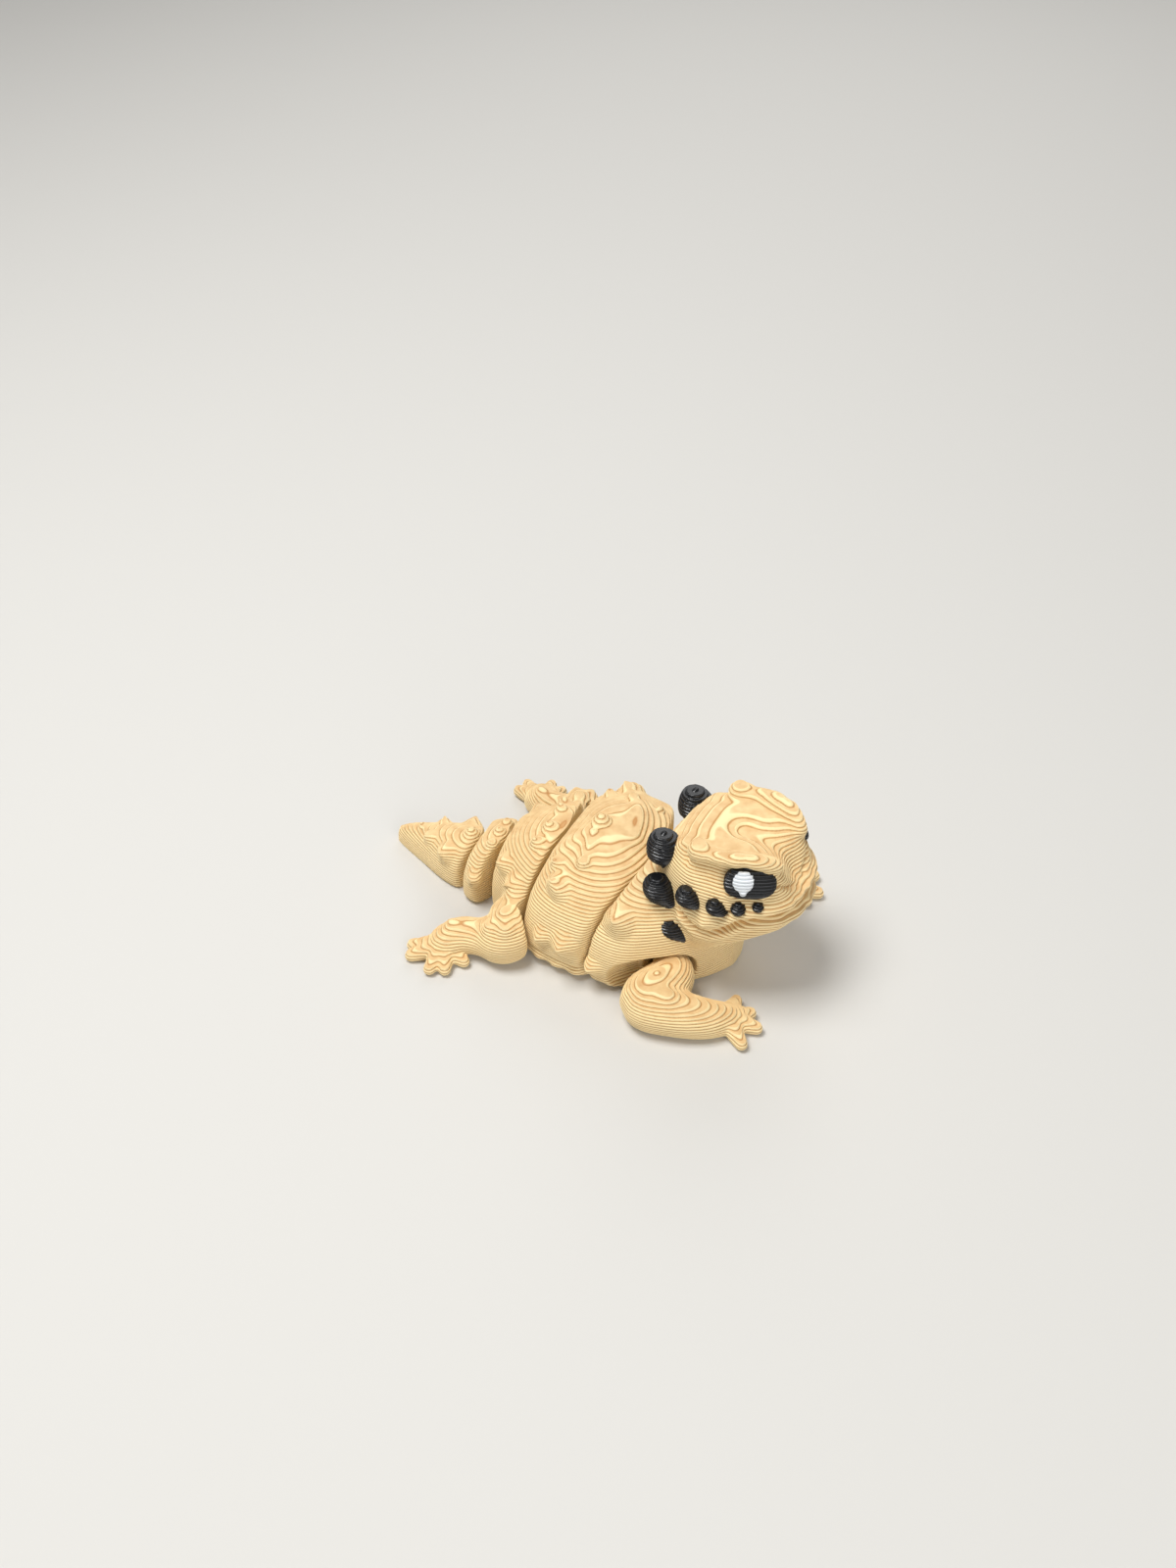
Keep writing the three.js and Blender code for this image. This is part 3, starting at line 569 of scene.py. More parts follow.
def relaxed(points, quads, times, share=0.5):
    """Each point moved part of the way to the middle of its neighbours, several times."""
    starts = quads.ravel()
    ends = np.roll(quads, -1, axis=1).ravel()
    weights = np.bincount(starts, minlength=len(points)) + np.bincount(ends, minlength=len(points))
    for _ in range(times):
        total = np.zeros_like(points)
        for axis in range(3):
            total[:, axis] += np.bincount(starts, points[ends, axis], len(points))
            total[:, axis] += np.bincount(ends, points[starts, axis], len(points))
        points = points + share * (total / weights[:, None] - points)
    return points


def normals_of(points, quads):
    across = points[quads[:, 2]] - points[quads[:, 0]]
    along = points[quads[:, 3]] - points[quads[:, 1]]
    face = np.cross(across, along)
    made = np.zeros_like(points)
    for corner in range(4):
        for axis in range(3):
            made[:, axis] += np.bincount(quads[:, corner], face[:, axis], len(points))
    return made / np.maximum(np.linalg.norm(made, axis=1), 1e-12)[:, None]


def raise_bump(points, normals, centre, radius, height):
    """A soft cone on the skin, pointed in the middle and flared at its foot; a hollow below zero."""
    reach = np.linalg.norm(points - centre, axis=1) / radius
    lift = height * np.clip(1 - reach, 0, None) ** BUMP_POWER
    if height < 0:
        lift = height * np.clip(1 - reach**2, 0, None) ** 2
    return points + normals * lift[:, None]


def distance_to_path(points, path):
    nearest = np.full(len(points), np.inf)
    for a, b in zip(path[:-1], path[1:]):
        step = b - a
        share = np.clip((points - a) @ step / (step @ step), 0, 1)
        gap = np.linalg.norm(points - a - share[:, None] * step, axis=1)
        nearest = np.minimum(nearest, gap)
    return nearest


def raise_fold(points, normals, path, width, height):
    """A ridge along a path on the skin, or a crease where the height is below zero."""
    path = smooth_row(path, 16)
    reach = 3 * width + 0.6
    near = np.all((points > path.min(0) - reach) & (points < path.max(0) + reach), axis=1)
    made = points.copy()
    gap = distance_to_path(points[near], path)
    made[near] += normals[near] * (height * np.exp(-((gap / width) ** 2)))[:, None]
    return made


def skin_point(stations, shape, x, share):
    """The point of a body at a place along it and a share of the half turn round its back."""
    rows = smooth_row(stations, 200)
    row = rows[np.argmin(np.abs(rows[:, 0] - x))]
    angle = share * math.pi
    across, up = math.cos(angle), math.sin(angle)
    level = row[2] + (row[3] - row[2]) * shape["level"]
    y = math.copysign(row[1] * abs(across) ** shape["upper"], across)
    if up < 0:
        return np.array((x, math.copysign(row[1], across), level - (level - row[2]) * (-up) ** shape["lower"]))
    return np.array((x, y, level + (row[3] - level) * up ** shape["upper"]))


def bumped(points, quads, stations, rows, place):
    """Bumps on a body piece, from rows of its table."""
    normals = normals_of(points, quads)
    for x, size, shares in rows:
        for share in shares:
            spot = skin_point(stations, BODY_SHAPE, x, share)
            centre = placed((spot[None, :], []), place)[0][0]
            radius, height = BUMP["radius"] * size, BUMP["height"] * size
            points = raise_bump(points, normals, centre, radius, height)
    return points


def knobbly(points, quads, rows, places):
    """Bumps at given points of a skin, on each side of a place."""
    normals = normals_of(points, quads)
    for place, side in places:
        for x, y, z, radius, height in rows:
            spot = placed((np.array(((x, y * side, z),)), []), place)[0][0]
            points = raise_bump(points, normals, spot, radius, height)
    return points


def fringed(points, quads, place, share=1.0):
    """A wavy lip low on the flanks."""
    normals = normals_of(points, quads) * (1, 1, 0)
    angle = math.radians(place["yaw"])
    along = points[:, 0] * math.cos(angle) + points[:, 1] * math.sin(angle)
    wave = 0.65 + 0.35 * np.sin(along / FRINGE["wave"] * 2 * np.pi)
    lip = np.exp(-(((points[:, 2] - FRINGE["rise"]) / FRINGE["half"]) ** 2))
    groove_at = FRINGE["rise"] + FRINGE["groove_up"] * FRINGE["half"]
    groove = FRINGE["groove"] * np.exp(-(((points[:, 2] - groove_at) / FRINGE["half"]) ** 2))
    out = np.abs(normals[:, 1]) ** 2
    return points + normals * (FRINGE["depth"] * share * out * (lip * wave - groove))[:, None]


def layered(points, quads, sizes, deeper=1.0):
    """The skin as printed: each layer a round bead at the sides and a flat step on the slopes."""
    layer = sizes.layer / MM
    normals = normals_of(points, quads)
    level = points[:, 2] / layer
    whole = np.floor(level)
    part = level - whole
    facing_up = np.clip((normals[:, 2] - STEP["from"]) / STEP["blend"], 0, 1)
    rise = np.sin(part / STEP["rise"] * np.pi / 2) * STEP["tread"]
    tread = STEP["tread"] + (1 - STEP["tread"]) * np.clip((part - STEP["last"]) / (1 - STEP["last"]), 0, 1)
    lift = (np.where(part < STEP["rise"], rise, tread) - part) * layer * facing_up
    arc = np.sqrt(np.clip(1 - (2 * part - 1) ** 2, 0, 1))
    bead = deeper * sizes.bead / MM * (arc - STEP["bead_middle"])
    flat = normals * (1, 1, 0)
    made = points + flat * bead[:, None]
    made[:, 2] += lift
    made[:, 2] = np.maximum(made[:, 2], 0.0)
    return made


def add_piece(name, points, quads, body, slot, nodes):
    """Puts a skin into the scene in metres, on a body, for the nodes that it stands for."""
    mesh = bpy.data.meshes.new(name)
    shifted = (points - (BOX_MIDDLE_X, 0, 0)) * MM
    mesh.vertices.add(len(shifted))
    mesh.vertices.foreach_set("co", shifted.ravel())
    count = len(quads)
    mesh.loops.add(count * 4)
    mesh.loops.foreach_set("vertex_index", quads.ravel().astype(np.int32))
    mesh.polygons.add(count)
    mesh.polygons.foreach_set("loop_start", np.arange(0, count * 4, 4, dtype=np.int32))
    mesh.update(calc_edges=True)
    mesh.polygons.foreach_set("use_smooth", np.ones(count, bool))
    obj = bpy.data.objects.new(name, mesh)
    bpy.context.scene.collection.objects.link(obj)
    mesh.materials.append(finish_of(slot))
    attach(obj, body)
    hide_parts(*nodes)
    return obj


# Links
def link_forms(hinge, knob, neck, place, extra=0.0):
    """The knob and the bar of a link."""
    spot = {"x": hinge[0], "y": hinge[1], "yaw": place["yaw"]}
    return placed(knob_form(knob, extra), spot), placed(bar_form(knob, neck, extra), spot)


def shoulder_of(name):
    """Where a front leg stands: on its hinge, turned forwards as far as the toy was left."""
    pivot, _, _ = hinge_of("arm_" + name + "_turn")
    return {"x": pivot[0], "y": pivot[1], "yaw": FRONT["yaw"] + SHOULDER[name] * SIDES[name]}


def socket_for(joint, knob, neck, place, backwards):
    """What a socket cuts away: the knob with its gap, and the bar over its swing."""
    pivot, _, _ = hinge_of(joint)
    stand, bar = link_forms(pivot, knob, neck, place, HINGE_GAP)
    return [stand, *sweep(bar, joint, backwards)]


# Materials
def linear(hex_colour):
    """A colour written as sRGB hex, as linear red, green, blue and alpha."""
    parts = [int(hex_colour[i : i + 2], 16) / 255 for i in (1, 3, 5)]
    return (*[p / 12.92 if p <= 0.04045 else ((p + 0.055) / 1.055) ** 2.4 for p in parts], 1.0)


def add_node(tree, kind, links=(), **settings):
    """A node of that kind with its settings; links are (input, output socket or value) pairs."""
    node = tree.nodes.new(kind)
    for key, value in settings.items():
        setattr(node, key, value)
    for socket, source in links:
        if isinstance(source, bpy.types.NodeSocket):
            tree.links.new(source, node.inputs[socket])
        else:
            node.inputs[socket].default_value = source
    return node


def printed_plastic(name, sizes, ridge, valley, roughness, shade_line_width):
    """Layer-printed plastic: a fine dark line of painted shade in the valley between beads, and faint drift in tone.
    """
    material = bpy.data.materials.new(name)
    material.use_nodes = True
    tree = material.node_tree
    tree.nodes.clear()
    place = add_node(tree, "ShaderNodeTexCoord").outputs["Object"]
    height = add_node(tree, "ShaderNodeSeparateXYZ", [(0, place)]).outputs["Z"]
    count = add_node(tree, "ShaderNodeMath", [(0, height), (1, sizes.layer)], operation="DIVIDE").outputs[0]
    noises = []
    for size, detail in (WAVER, CLOUD, GRAIN):
        links = [("Vector", place), ("Scale", 1 / (size * MM)), ("Detail", detail)]
        noises.append(add_node(tree, "ShaderNodeTexNoise", links).outputs["Fac"])
    waver, cloud, grain = noises
    drift = add_node(tree, "ShaderNodeMath", [(0, waver), (1, PRINT["waver"]), (2, count)], operation="MULTIPLY_ADD")
    part = add_node(tree, "ShaderNodeMath", [(0, drift.outputs[0])], operation="FRACT").outputs[0]
    # Painted shade: the ramp darkens the colour towards each layer's edge, where the valley between beads lies
    line = add_node(tree, "ShaderNodeValToRGB", [("Fac", part)])
    stops = line.color_ramp
    for stop, at in zip(stops.elements, (0.0, 1.0)):
        stop.position = at
        stop.color = (0, 0, 0, 1)
    for at, value in ((shade_line_width * 0.5, PRINT["edge"]), (shade_line_width, 1.0), (1 - shade_line_width * 0.5, 1.0)):
        stop = stops.elements.new(at)
        stop.color = (value, value, value, 1)
    tone = add_node(tree, "ShaderNodeMapRange", [("Value", cloud), ("To Min", PRINT["patch"]), ("To Max", 1.0)])
    bright_links = [(0, line.outputs["Color"]), (1, tone.outputs[0])]
    bright = add_node(tree, "ShaderNodeMath", bright_links, operation="MULTIPLY")
    colour = add_node(
        tree,
        "ShaderNodeMix",
        [("Factor", bright.outputs[0]), ("A", linear(valley)), ("B", linear(ridge))],
        data_type="RGBA",
    )
    relief_links = [(0, grain), (1, PRINT["grain"]), (2, line.outputs["Color"])]
    relief = add_node(tree, "ShaderNodeMath", relief_links, operation="MULTIPLY_ADD").outputs[0]
    bump_links = [("Strength", PRINT["relief"]), ("Distance", sizes.bead), ("Height", relief)]
    bump = add_node(tree, "ShaderNodeBump", bump_links)
    shader = add_node(
        tree,
        "ShaderNodeBsdfPrincipled",
        [
            ("Base Color", colour.outputs["Result"]),
            ("Roughness", roughness),
            ("IOR", PLA_IOR),
            ("Normal", bump.outputs["Normal"]),
        ],
    )
    add_node(tree, "ShaderNodeOutputMaterial", [("Surface", shader.outputs[0])])
    return material


def finish_of(slot):
    """The finish of that slot, made the first time it is asked for."""
    name = "printed_pla_" + slot.split("_")[0]
    made = bpy.data.materials.get(name)
    if made:
        return made
    scene = bpy.context.scene
    sizes, colours = scene.lizard_sizes, scene.lizard_colours
    # Tan PLA laid in draft layers: matte and warm, brighter on each bead, with painted shade making the valleys
    # browner
    if slot == "tan_plastic":
        return printed_plastic(name, sizes, colours.tan, colours.tan_valley_shade, 0.55, 0.3)
    # Black PLA in the same layers: dark, with a bright line where the light catches each bead, partly a painted
    # highlight in the bead's grey, and painted shade in the valleys
    if slot == "black_plastic":
        return printed_plastic(name, sizes, colours.black, colours.black_valley_shade, 0.2, 0.42)
    # White PLA, a few short strands laid over the black eye, with painted shade in the valleys between its beads
    if slot == "white_plastic":
        return printed_plastic(name, sizes, colours.white, colours.white_valley_shade, 0.5, 0.2)
    raise RuntimeError("no finish is made for " + slot)


class LizardSizes(bpy.types.PropertyGroup):
    layer: bpy.props.FloatProperty(
        name="Layer height", description="Height of one printed layer", default=0.28 * MM,
        unit="LENGTH", precision=5,
    )
    bead: bpy.props.FloatProperty(
        name="Bead depth", description="How far a layer's round edge stands over the valleys",
        default=0.085 * MM, unit="LENGTH", precision=5,
    )
    cell: bpy.props.FloatProperty(
        name="Cell", description="Spacing of the points of the printed skin", default=0.14 * MM,
        unit="LENGTH", precision=5,
    )


class LizardColours(bpy.types.PropertyGroup):
    tan: bpy.props.StringProperty(name="Tan", description="Bead of the tan plastic", default="#FAE4AE")
    # The tan valley colour is painted shade in the grooves between the beads
    tan_valley_shade: bpy.props.StringProperty(name="Tan valley", description="Valley between tan beads", default="#BC8446")
    # The black bead's grey is partly a painted highlight, and the black valley colour is painted shade
    black: bpy.props.StringProperty(name="Black", description="Bead of the black plastic", default="#232427")
    black_valley_shade: bpy.props.StringProperty(
        name="Black valley", description="Valley between black beads", default="#050506",
    )
    white: bpy.props.StringProperty(name="White", description="Bead of the white plastic", default="#E9EDF0")
    # The white valley colour is painted shade between the white beads
    white_valley_shade: bpy.props.StringProperty(
        name="White valley", description="Valley of the white plastic", default="#B9C0C6",
    )
    floor: bpy.props.StringProperty(name="Floor", description="Floor of the studio", default="#CFCDC8")


def grid(sizes):
    """Spacing of the skin in plan, and how much finer it is along Z, with several points to a layer."""
    cell = sizes.cell / MM
    return cell, cell / (sizes.layer / MM / POINTS_PER_LAYER)


def melted(forms):
    """The forms as one soft body, with its edges and creases rounded."""
    points, quads = fused(forms, MELT["cell"], 1.0)
    return relaxed(points, quads, MELT["times"]), [tuple(face) for face in quads.tolist()]


def body_skin(forms, sizes, smoothing=SKIN_SMOOTHING):
    """The dense skin of the forms, ready for bumps and layers."""
    cell, stretch = grid(sizes)
    points, quads = fused(forms, cell, stretch)
    points = relaxed(points, quads, smoothing)
    return points / (1, 1, stretch), quads


def settle(points):
    """Flattens what lies under the floor onto it."""
    made = points.copy()
    made[:, 2] = np.maximum(made[:, 2], 0.0)
    return made


class MiddlePiece(bpy.types.Operator):
    """Adds the widest body piece with its pairs of bumps"""

    bl_idname = "lizard.middle_piece"
    bl_label = "Middle piece"

    def execute(self, context):
        sizes = context.scene.lizard_sizes
        form = placed(body_form(MID_STATIONS, BODY_SHAPE), MID)
        cutters = [
            placed(bowed_block(FACE_AT["front"] + FACE_CLOSER, FACE_BOW["front"], False), MID),
            placed(bowed_block(FACE_AT["hip"], FACE_BOW["hip"], True), MID),
            *socket_for("hip_turn", KNOB, NECK, HIP, False),
        ]
        pivot, _, _ = hinge_of("front_turn")
        link = [carved(part, cutters[2:]) for part in link_forms(pivot, KNOB, NECK, MID)]
        soft = melted([carved(form, cutters[:2])])
        points, quads = body_skin([carved(soft, cutters[2:]), *link], sizes)
        normals = normals_of(points, quads)
        for spots, width, height in MID_RIDGES:
            path = np.array([skin_point(MID_STATIONS, BODY_SHAPE, x, share) for x, share in spots])
            points = raise_fold(points, normals, placed((path, []), MID)[0], width, height)
        points = bumped(points, quads, MID_STATIONS, MID_BUMPS, MID)
        points = relaxed(fringed(points, quads, MID), quads, 1)
        points = layered(settle(points), quads, sizes)
        add_piece("middle_skin", points, quads, "middle", "tan_plastic", ["torso_mid"])
        return {"FINISHED"}


class FrontPiece(bpy.types.Operator):
    """Adds the front body piece with the head, printed as one"""

    bl_idname = "lizard.front_piece"
    bl_label = "Front piece and head"

    def execute(self, context):
        sizes = context.scene.lizard_sizes
        face = placed(bowed_block(FACE_AT["front"] + HINGE_GAP, FACE_BOW["front"], True), MID)
        faces = sweep(face, "front_turn", True)
        cutters = socket_for("front_turn", KNOB, NECK, MID, True)
        for name, side in SIDES.items():
            spot = shoulder_of(name)
            arm = placed(mirrored(limb_form(FRONT_LEG_PATH[:ARM_STATIONS], ARM_ROOM, 24, 10), side), spot)
            cutters += [placed(knob_form(SHOULDER_KNOB, HINGE_GAP), spot), *sweep(arm, "arm_" + name + "_turn")]
        brows = [placed(mirrored(limb_form(BROW_PATH), side), FRONT) for side in SIDES.values()]
        forms = [
            carved(placed(body_form(FRONT_STATIONS, BODY_SHAPE), FRONT), faces),
            carved(placed(body_form(HEAD_STATIONS, HEAD_SHAPE), FRONT), faces),
            *brows,
        ]
        points, quads = body_skin([carved(melted(forms), cutters)], sizes)
        points = bumped(points, quads, FRONT_STATIONS, FRONT_BUMPS, FRONT)
        normals = normals_of(points, quads)
        points = knobbly(points, quads, HEAD_BUMPS.values(), [(FRONT, side) for side in SIDES.values()])
        for side in SIDES.values():
            for path, width, height in HEAD_FOLDS.values():
                spots = placed((np.array(path) * (1, side, 1), []), FRONT)[0]
                points = raise_fold(points, normals, spots, width, height)
        points = relaxed(fringed(points, quads, FRONT, FRONT_LIP), quads, 1)
        points = layered(settle(points), quads, sizes)
        add_piece("front_skin", points, quads, "front", "tan_plastic", ["torso_front", "head"])
        return {"FINISHED"}


def toe_forms(palm, toes):
    """Fingers that slope from the knuckles down to the floor."""
    made = []
    x, y, _ = palm
    for angle, length in toes:
        turn = math.radians(angle)
        path = []
        for share in TOE_SHARES:
            reach = length * share
            height = TOE["knuckle"] + (TOE["rise"] - TOE["knuckle"]) * min(share * TOE_FALL, 1.0)
            thick = TOE["root"] + (TOE["tip"] - TOE["root"]) * share
            path.append((x + math.cos(turn) * reach, y + math.sin(turn) * reach, height, thick))
        made.append(limb_form(path, 0.0, 20, 14))
    return made


def palm_form(palm):
    """A flattened ball that the toes grow from."""
    x, y, radius = palm
    angles = np.linspace(-PALM["end"], PALM["end"], 14)
    profile = [(math.cos(a) * radius, math.sin(a) * radius * PALM["flat"]) for a in angles]
    points, faces = turned_form(profile, 32)
    return points + (x, y, TOE["rise"] + PALM["over_toes"]), faces


def leg_forms(path, palm):
    return [limb_form(path), palm_form(palm)]


class HipPiece(bpy.types.Operator):
    """Adds the hip piece with both rear legs, printed as one"""

    bl_idname = "lizard.hip_piece"
    bl_label = "Hip piece and rear legs"

    def execute(self, context):
        sizes = context.scene.lizard_sizes
        face = placed(bowed_block(FACE_AT["hip"] - HINGE_GAP, FACE_BOW["hip"], False), MID)
        rear = placed(bowed_block(FACE_AT["disc"], FACE_BOW["disc"], True), HIP)
        socket = socket_for("disc_turn", SMALL_KNOB, SMALL_NECK, DISC, False)
        room = sweep(face, "hip_turn", True)
        pivot, _, _ = hinge_of("hip_turn")
        clear = [(x, half + THIGH_ROOM, low - 1, top + THIGH_ROOM) for x, half, low, top in MID_STATIONS]
        clear.insert(0, (clear[0][0] - 1, *clear[0][1:]))
        behind = placed(bowed_block(FACE_AT["hip"] - THIGH_ROOM, FACE_BOW["hip"], True), MID)
        thigh_room = sweep(carved(placed(body_form(clear, BODY_SHAPE, 36, 12), MID), [behind]), "hip_turn", True)
        forms = [carved(placed(body_form(HIP_STATIONS, BODY_SHAPE), HIP), [*room, rear])]
        toes = []
        for side in SIDES.values():
            for form in leg_forms(REAR_LEG_PATH, REAR_PALM):
                forms.append(carved(placed(mirrored(form, side), HIP), thigh_room))
            toes += [placed(mirrored(form, side), HIP) for form in toe_forms(REAR_PALM, REAR_TOES)]
        soft = carved(melted(forms), [*socket, *thigh_room])
        points, quads = body_skin([soft, *toes, *link_forms(pivot, KNOB, NECK, HIP)], sizes)
        points = bumped(points, quads, HIP_STATIONS, HIP_BUMPS, HIP)
        points = knobbly(points, quads, REAR_LEG_BUMPS, [(HIP, side) for side in SIDES.values()])
        points = layered(settle(points), quads, sizes)
        nodes = ["torso_hip", "leg_rear_left", "leg_rear_right"]
        add_piece("hip_skin", points, quads, "hip", "tan_plastic", nodes)
        return {"FINISHED"}


class TailPieces(bpy.types.Operator):
    """Adds the tail's disc and its cone"""

    bl_idname = "lizard.tail_pieces"
    bl_label = "Tail pieces"

    def execute(self, context):
        sizes = context.scene.lizard_sizes
        disc_face = placed(bowed_block(FACE_AT["disc"] - HINGE_GAP, FACE_BOW["disc"], False), HIP)
        disc_rear = placed(bowed_block(FACE_AT["tail"], FACE_BOW["tail"], True), DISC)
        socket = socket_for("tail_turn", TAIL_KNOB, TAIL_NECK, TAIL, False)
        pivot, _, _ = hinge_of("disc_turn")
        room = sweep(disc_face, "disc_turn", True)
        soft = melted([carved(placed(body_form(DISC_STATIONS, BODY_SHAPE), DISC), [*room, disc_rear])])
        forms = [carved(soft, socket)]
        forms += [carved(part, socket) for part in link_forms(pivot, SMALL_KNOB, SMALL_NECK, DISC)]
        points, quads = body_skin(forms, sizes)
        points = bumped(points, quads, DISC_STATIONS, DISC_BUMPS, DISC)
        points = layered(settle(points), quads, sizes)
        add_piece("tail_disc_skin", points, quads, "disc", "tan_plastic", ["tail_disc"])

        tail_face = placed(bowed_block(FACE_AT["tail"] - HINGE_GAP, FACE_BOW["tail"], False), DISC)
        pivot, _, _ = hinge_of("tail_turn")
        room = sweep(tail_face, "tail_turn", True)
        forms = [melted([carved(placed(body_form(TAIL_STATIONS, BODY_SHAPE), TAIL), room)])]
        forms += link_forms(pivot, TAIL_KNOB, TAIL_NECK, TAIL)
        points, quads = body_skin(forms, sizes)
        points = bumped(points, quads, TAIL_STATIONS, TAIL_BUMPS, TAIL)
        points = layered(settle(points), quads, sizes)
        add_piece("tail_tip_skin", points, quads, "tail", "tan_plastic", ["tail_tip"])
        return {"FINISHED"}


class FrontLegs(bpy.types.Operator):
    """Adds the two front legs, each on the knob in its shoulder socket"""

    bl_idname = "lizard.front_legs"
    bl_label = "Front legs"

    def execute(self, context):
        sizes = context.scene.lizard_sizes
        for name, side in SIDES.items():
            spot = shoulder_of(name)
            limb = [placed(mirrored(form, side), spot) for form in leg_forms(FRONT_LEG_PATH, FRONT_PALM)]
            forms = [placed(knob_form(SHOULDER_KNOB), spot), melted(limb)]
            for form in toe_forms(FRONT_PALM, FRONT_TOES):
                forms.append(placed(mirrored(form, side), spot))
            points, quads = body_skin(forms, sizes)
            points = knobbly(points, quads, FRONT_LEG_BUMPS, [(spot, side)])
            points = layered(settle(points), quads, sizes)
            add_piece("front_leg_" + name, points, quads, "arm_" + name, "tan_plastic", ["leg_front_" + name])
        return {"FINISHED"}


class Spikes(bpy.types.Operator):
    """Adds the seven black spikes of each side of the head"""

    bl_idname = "lizard.spikes"
    bl_label = "Head spikes"

    def execute(self, context):
        sizes = context.scene.lizard_sizes
        for name, side in SIDES.items():
            for kind, (x, y, z, pitch, yaw, length, base, widest) in SPIKES.items():
                rows = [(base * SPIKE_SEAT, -SPIKE_ROOT), (base, 0.0)]
                rows += [(widest * wide, length * along) for wide, along in SPIKE_PROFILE]
                rows = smooth_row(rows, 40)
                points, faces = turned_form(rows, 48)
                turn = Matrix.Rotation(math.radians(yaw * side), 3, "Z")
                lean = Matrix.Rotation(math.radians(90 - pitch), 3, "Y")
                points = points @ np.array(turn @ lean).T + (x, y * side, z)
                form = placed((points, faces), FRONT)
                points, quads = body_skin([form], sizes, SMALL_SMOOTHING)
                points = layered(points, quads, sizes, SPIKE_BEAD)
                tail = kind + "_" + name
                add_piece("spike_skin_" + tail, points, quads, "front", "black_plastic", ["spike_" + tail])
        return {"FINISHED"}


class Eyes(bpy.types.Operator):
    """Adds the black eyes and the white glint on each"""

    bl_idname = "lizard.eyes"
    bl_label = "Eyes"

    def execute(self, context):
        sizes = context.scene.lizard_sizes
        ball = [(max(math.cos(a), 0.02), math.sin(a)) for a in np.linspace(-math.pi / 2, math.pi / 2, 24)]
        turn = Matrix.Rotation(math.radians(-EYE["yaw"]), 3, "Z")
        lean = np.array(turn @ Matrix.Rotation(math.radians(EYE["lean"]), 3, "X")).T
        points, faces = turned_form(ball, 48)
        blunt = np.sign(points) * np.abs(points) ** EYE["square"]
        eye = blunt * (EYE["long"], EYE["deep"], EYE["tall"])
        glint = points * (GLINT["radius"], GLINT["deep"], GLINT["radius"])
        glint = glint + (GLINT["along"], GLINT["out"], GLINT["up"])
        drip = points * (DRIP["radius"], DRIP["deep"], DRIP["radius"])
        drip = drip + (GLINT["along"], GLINT["out"], GLINT["up"] - DRIP["below"])
        spot = (EYE["x"], EYE["y"], EYE["z"])
        for name, side in SIDES.items():
            form = placed(mirrored((eye @ lean + spot, faces), side), FRONT)
            skin, quads = body_skin([form], sizes, SMALL_SMOOTHING)
            skin = layered(skin, quads, sizes)
            add_piece("eye_skin_" + name, skin, quads, "front", "black_plastic", ["eye_" + name])
            forms = [placed(mirrored((part @ lean + spot, faces), side), FRONT) for part in (glint, drip)]
            skin, quads = body_skin(forms, sizes, SMALL_SMOOTHING)
            skin = layered(skin, quads, sizes)
            add_piece("glint_skin_" + name, skin, quads, "front", "white_plastic", ["glint_" + name])
        return {"FINISHED"}


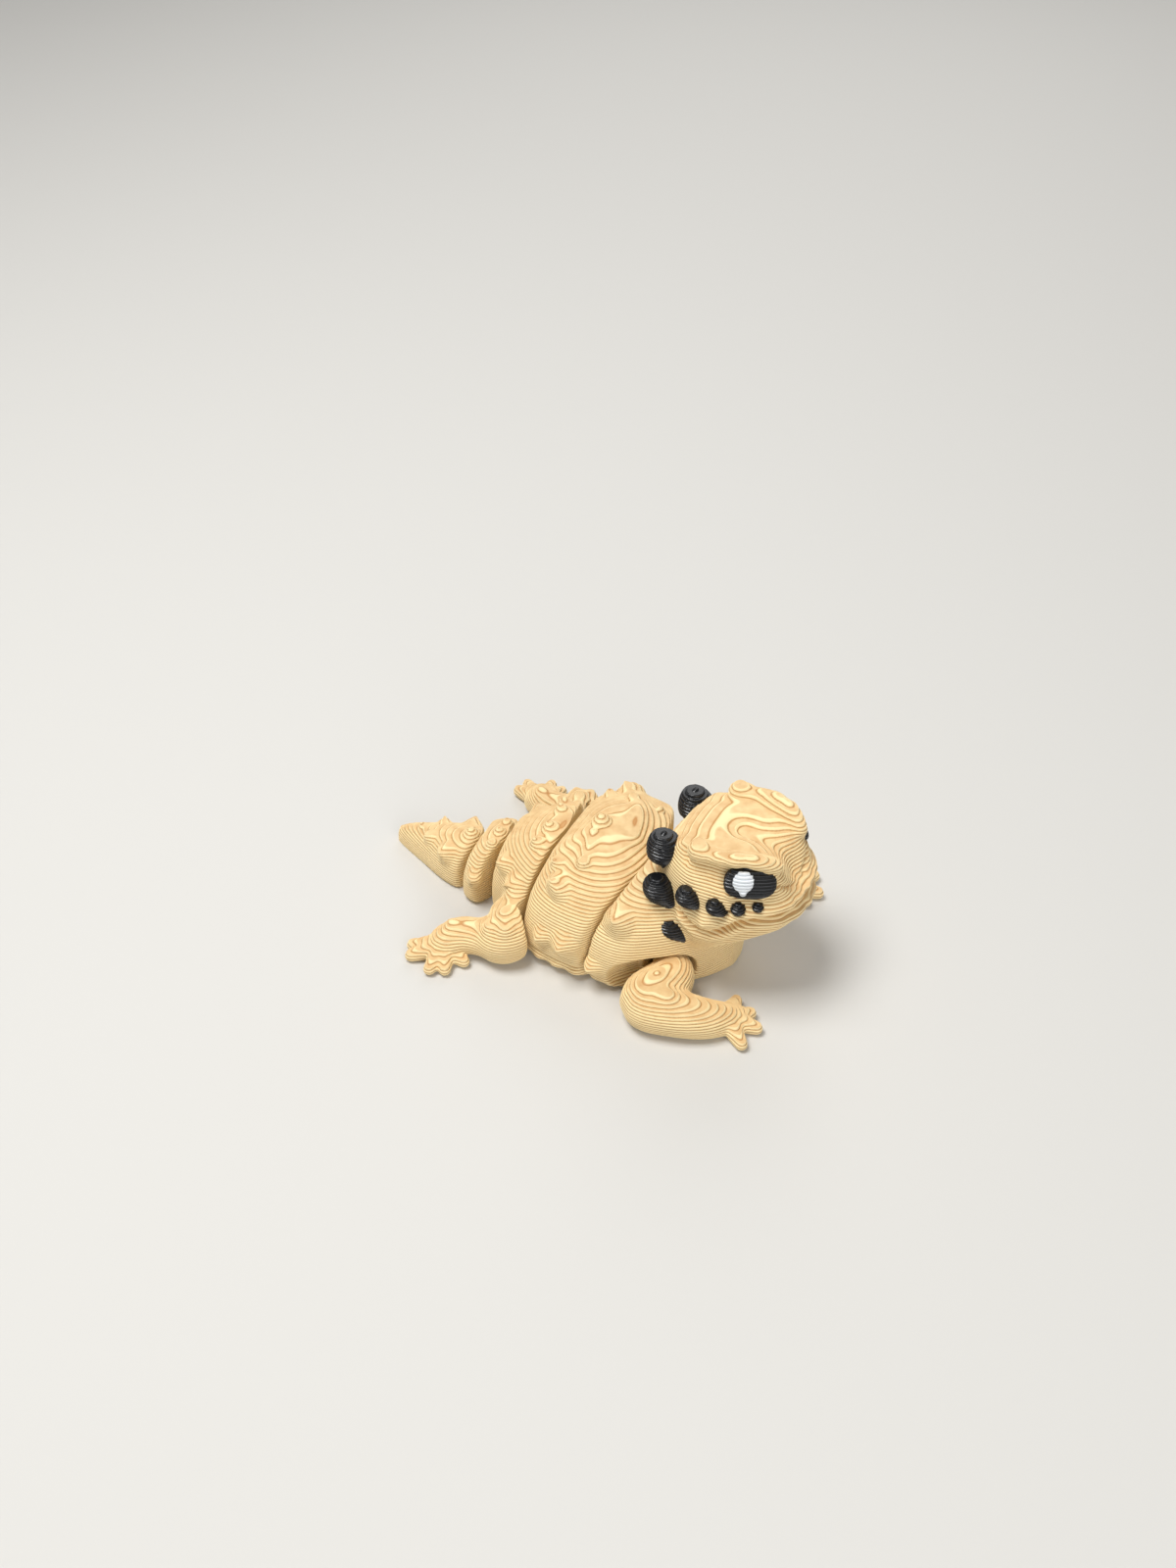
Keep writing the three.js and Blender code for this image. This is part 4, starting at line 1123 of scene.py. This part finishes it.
class Stage(bpy.types.Operator):
    """Adds the pale floor, the soft studio lights and the camera"""

    bl_idname = "lizard.stage"
    bl_label = "Stage"

    def execute(self, context):
        scene = context.scene
        mesh = bpy.data.meshes.new("studio_floor")
        corners = [(x * FLOOR_REACH, y * FLOOR_REACH, 0) for x, y in ((-1, -1), (1, -1), (1, 1), (-1, 1))]
        mesh.from_pydata(corners, [], [(0, 1, 2, 3)])
        floor = bpy.data.objects.new("studio_floor", mesh)
        scene.collection.objects.link(floor)
        # Smooth matte paper, so that the shadow is the only thing on it
        paper = bpy.data.materials.new("studio_paper")
        paper.use_nodes = True
        shader = paper.node_tree.nodes["Principled BSDF"]
        shader.inputs["Base Color"].default_value = linear(scene.lizard_colours.floor)
        shader.inputs["Roughness"].default_value = 0.8
        mesh.materials.append(paper)
        for name, (spot, power, size) in LIGHTS.items():
            lamp = bpy.data.lights.new(name, "AREA")
            lamp.energy = power
            lamp.size = size
            obj = bpy.data.objects.new(name, lamp)
            obj.location = spot
            obj.rotation_euler = (Vector(LIGHT_AIM) - Vector(spot)).to_track_quat("-Z", "Y").to_euler()
            scene.collection.objects.link(obj)
        world = bpy.data.worlds.new("studio_world")
        world.use_nodes = True
        sky = world.node_tree.nodes["Background"]
        sky.inputs["Color"].default_value = (1, 1, 1, 1)
        sky.inputs["Strength"].default_value = WORLD_STRENGTH
        scene.world = world
        lens = bpy.data.cameras.new("photo_camera")
        lens.lens = CAMERA["lens"]
        lens.sensor_width = SENSOR
        lens.sensor_height = SENSOR
        lens.sensor_fit = "AUTO"
        lens.clip_start = 0.005
        camera = bpy.data.objects.new("photo_camera", lens)
        camera.location = (CAMERA["x"], CAMERA["y"], CAMERA["z"])
        camera.rotation_euler = (math.radians(90 - CAMERA["pitch"]), 0, math.radians(CAMERA["heading"]))
        scene.collection.objects.link(camera)
        scene.camera = camera
        scene.view_settings.view_transform = "Standard"
        return {"FINISHED"}


class LizardPanel(bpy.types.Panel):
    """Lists the toy's pieces, sizes and colours"""

    bl_idname = "VIEW3D_PT_lizard"
    bl_label = "Printed Horned Lizard"
    bl_space_type = "VIEW_3D"
    bl_region_type = "UI"
    bl_category = "Lizard"

    def draw(self, context):
        for operator in STEPS:
            self.layout.operator(operator.bl_idname)
        for group in (context.scene.lizard_sizes, context.scene.lizard_colours):
            for key in group.bl_rna.properties.keys():
                if key not in ("rna_type", "name"):
                    self.layout.prop(group, key)


STEPS = (Stage, MiddlePiece, FrontPiece, HipPiece, TailPieces, FrontLegs, Spikes, Eyes)
CLASSES = (LizardSizes, LizardColours, *STEPS, LizardPanel)


def register():
    for kind in CLASSES:
        bpy.utils.register_class(kind)
    bpy.types.Scene.lizard_sizes = bpy.props.PointerProperty(type=LizardSizes)
    bpy.types.Scene.lizard_colours = bpy.props.PointerProperty(type=LizardColours)


def unregister():
    del bpy.types.Scene.lizard_colours
    del bpy.types.Scene.lizard_sizes
    for kind in reversed(CLASSES):
        bpy.utils.unregister_class(kind)


def main():
    register()
    for step in STEPS:
        group, name = step.bl_idname.split(".")
        getattr(getattr(bpy.ops, group), name)()


if __name__ == "__main__":
    main()
